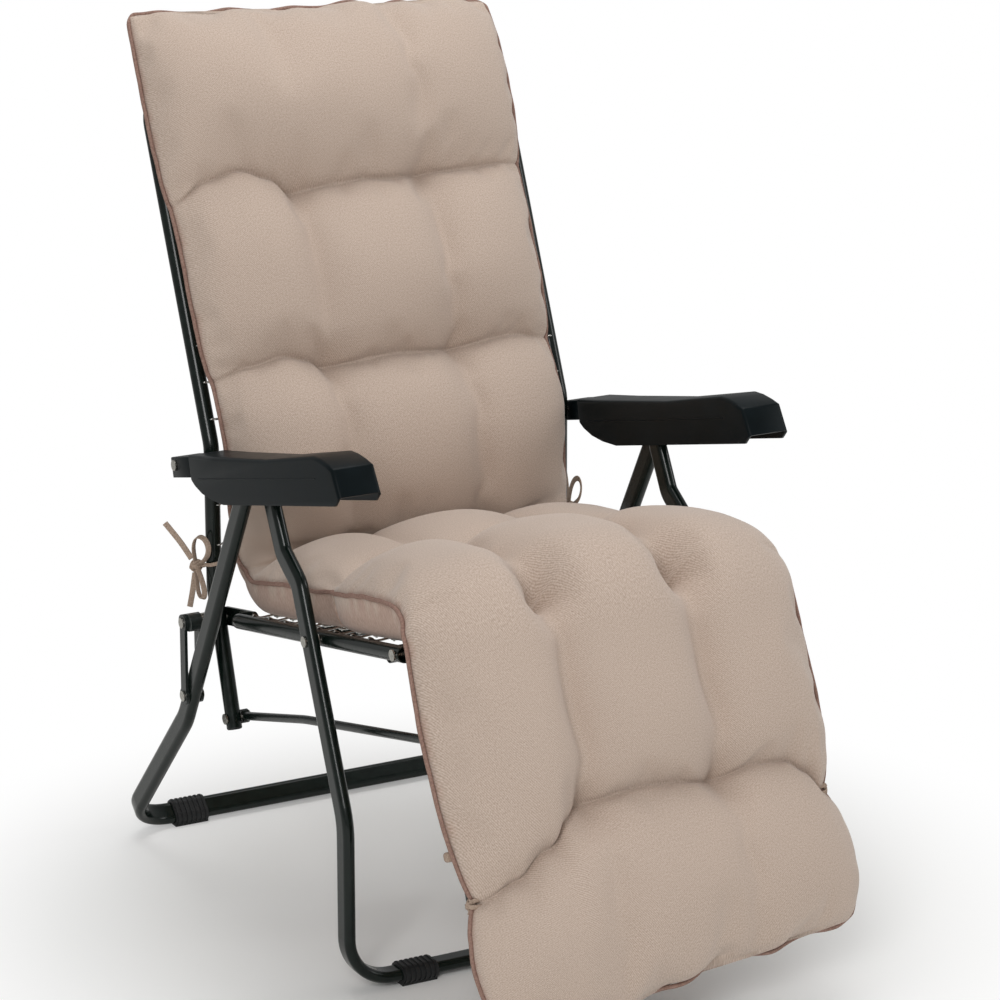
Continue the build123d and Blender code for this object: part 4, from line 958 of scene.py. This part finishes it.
for side, sign in (("right", -1), ("left", 1)):
    middle = Vector((sign * bow_middle.x, bow_middle.y, bow_middle.z))

    def from_bow(route):
        return [middle + Vector((sign * out, back, up)) * mm for out, back, up in route]

    bm = bmesh.new()
    knot_lump(bm, middle, bow_knot)
    for route in loop_routes:
        ribbon_mesh(bm, from_bow(route), tie_wide, tilt=math.pi / 3)
    tube_axis = Vector((sign * rail_x, post_y, bow_middle.z))
    sewn = seam_point(hip_place - 18 * mm, sign)
    round_back = [tube_axis + Vector((sign * math.cos(a), math.sin(a), 0)) * band_reach
                  for a in (math.radians(d) for d in (20, 60, 100, 140, 180))]
    ribbon_mesh(bm, [middle, *round_back, (round_back[-1] + sewn) / 2, sewn], band_wide)
    past_front = [tube_axis + Vector((sign * out, back, up)) * mm
                  for out, back, up in ((13, 0, 4), (9, -14, 5))]
    ribbon_mesh(bm, [middle, *past_front, sewn], band_wide)
    bow = new_piece(f"tie_bow_ribbon_{side}", bm, ribbon)
    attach(bow, "back")
    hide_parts(f"tie_bow_{side}")
    for end, route in tail_routes.items():
        points = from_bow(route)
        tilt = math.pi / (4 if end == "upper" else -4)
        tail = ribbon_curve(f"tie_end_{end}_{side}", points, tie_wide, tilt)
        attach(tail, "back")
        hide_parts(f"tie_tail_{end}_{side}")
dress(ribbon, "footrest_tie_right", "footrest_tie_left")

# Each side of the footrest part is tied once more, in a tight knot on the piped seam.
foot_knot_place = rows[6][0]
foot_knot = 23 * mm
foot_knot_depth = 26 * mm   # how far behind the knot its strand ends, at the tube
foot_end_wide = 6 * mm
for side, sign in (("right", -1), ("left", 1)):
    bm = bmesh.new()
    knot = seam_point(foot_knot_place, sign, 2 * mm)
    knot_lump(bm, knot, foot_knot)
    for out, back, up in ((9, -4, 7), (7, 2, -13)):
        end = knot + Vector((sign * out, back, up)) * mm
        bulge = Vector((sign * 2 * mm, 0, 1 * mm))
        ribbon_mesh(bm, [knot, (knot + end) / 2 + bulge, end], foot_end_wide, tilt=1.0)
    tube_side = knot - turned(foot_along) * foot_knot_depth
    ribbon_mesh(bm, [knot, (knot + tube_side) / 2 + Vector((sign * 5 * mm, 0, 0)), tube_side], band_wide)
    piece = new_piece(f"footrest_knot_{side}", bm, ribbon)
    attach(piece, "footrest")

# Floor and light: a white studio floor that runs up to a white background, with soft
# light from large panels in front, beside and above.
floor, floor_shader = new_material("studio_floor", Roughness=0.9)
floor_shader.inputs["Base Color"].default_value = linear("#F4F4F2")
bm = bmesh.new()
bmesh.ops.create_grid(bm, x_segments=1, y_segments=1, size=6.0)
ground = new_piece("studio_ground", bm, floor, smooth=False)
# Away from the chair the camera sees it as plain white. Near it, it keeps the soft shadow.
floor_place = add_node(floor, "ShaderNodeTexCoord")
floor_far = add_node(floor, "ShaderNodeVectorMath", [(0, floor_place, "Object")], operation="LENGTH")
floor_fade = add_node(floor, "ShaderNodeMapRange", [("Value", floor_far, "Value")], From_Min=0.35,
                      From_Max=0.85, interpolation_type="SMOOTHSTEP")
floor_path = add_node(floor, "ShaderNodeLightPath")
floor_white = add_node(floor, "ShaderNodeMath", [(0, floor_path, "Is Camera Ray"), (1, floor_fade, "Result")],
                       operation="MULTIPLY")
floor_glow = add_node(floor, "ShaderNodeEmission", Strength=1.0)
floor_mix = add_node(floor, "ShaderNodeMixShader", [("Fac", floor_white, 0)])
floor.node_tree.links.new(floor_shader.outputs[0], floor_mix.inputs[1])
floor.node_tree.links.new(floor_glow.outputs[0], floor_mix.inputs[2])
floor.node_tree.links.new(floor_mix.outputs[0], floor.node_tree.nodes["Material Output"].inputs["Surface"])

gloss_share = 0.4           # of the white background in reflections, so that the enamel stays dark
world_level = 0.37
world = bpy.data.worlds.new("studio")
bpy.context.scene.world = world
world.use_nodes = True
sky = world.node_tree.nodes["Background"]
sky.inputs["Color"].default_value = (1, 1, 1, 1)
path = add_node(world, "ShaderNodeLightPath")
seen = add_node(world, "ShaderNodeMath", [(0, path, "Is Camera Ray"), (1, path, "Is Transmission Ray")],
                operation="MAXIMUM")
shiny = add_node(world, "ShaderNodeMath", [(0, path, "Is Glossy Ray")], operation="MULTIPLY")
shiny.inputs[1].default_value = gloss_share
white = add_node(world, "ShaderNodeMath", [(0, seen, 0), (1, shiny, 0)], operation="MAXIMUM")
level = add_node(world, "ShaderNodeMath", [(0, white, 0)], operation="MAXIMUM")
level.inputs[1].default_value = world_level
world.node_tree.links.new(level.outputs[0], sky.inputs["Strength"])


def add_panel(name, place, aim, size, power):
    light = bpy.data.lights.new(name, "AREA")
    light.shape = "RECTANGLE"
    light.size, light.size_y = size
    light.energy = power
    lamp = bpy.data.objects.new(name, light)
    lamp.location = place
    lamp.rotation_euler = (Vector(aim) - Vector(place)).to_track_quat("-Z", "Y").to_euler()
    bpy.context.scene.collection.objects.link(lamp)


chair_middle = (0, 0, 0.5)
add_panel("front_panel", (-2.6, -3.4, 2.6), chair_middle, (1.6, 1.6), 85)
add_panel("side_panel", (3.2, -1.6, 2.0), chair_middle, (1.0, 2.0), 27)
add_panel("top_panel", (0.2, 0.4, 3.6), chair_middle, (2.4, 2.4), 53)

# The camera stands where the photograph's did: in front of the right armrest, a little
# above the chair.
camera_side = math.radians(28.47)
camera_down = math.radians(16.70)
camera_place = (-2.2619, -4.1988, 1.9856)
camera_lens = 144
camera_data = bpy.data.cameras.new("camera")
camera_data.lens = camera_lens
camera_data.sensor_width = 36
camera = bpy.data.objects.new("camera", camera_data)
camera.location = camera_place
camera.rotation_euler = (math.pi / 2 - camera_down, 0, -camera_side)
bpy.context.scene.collection.objects.link(camera)
bpy.context.scene.camera = camera
bpy.context.scene.view_settings.view_transform = "Standard"
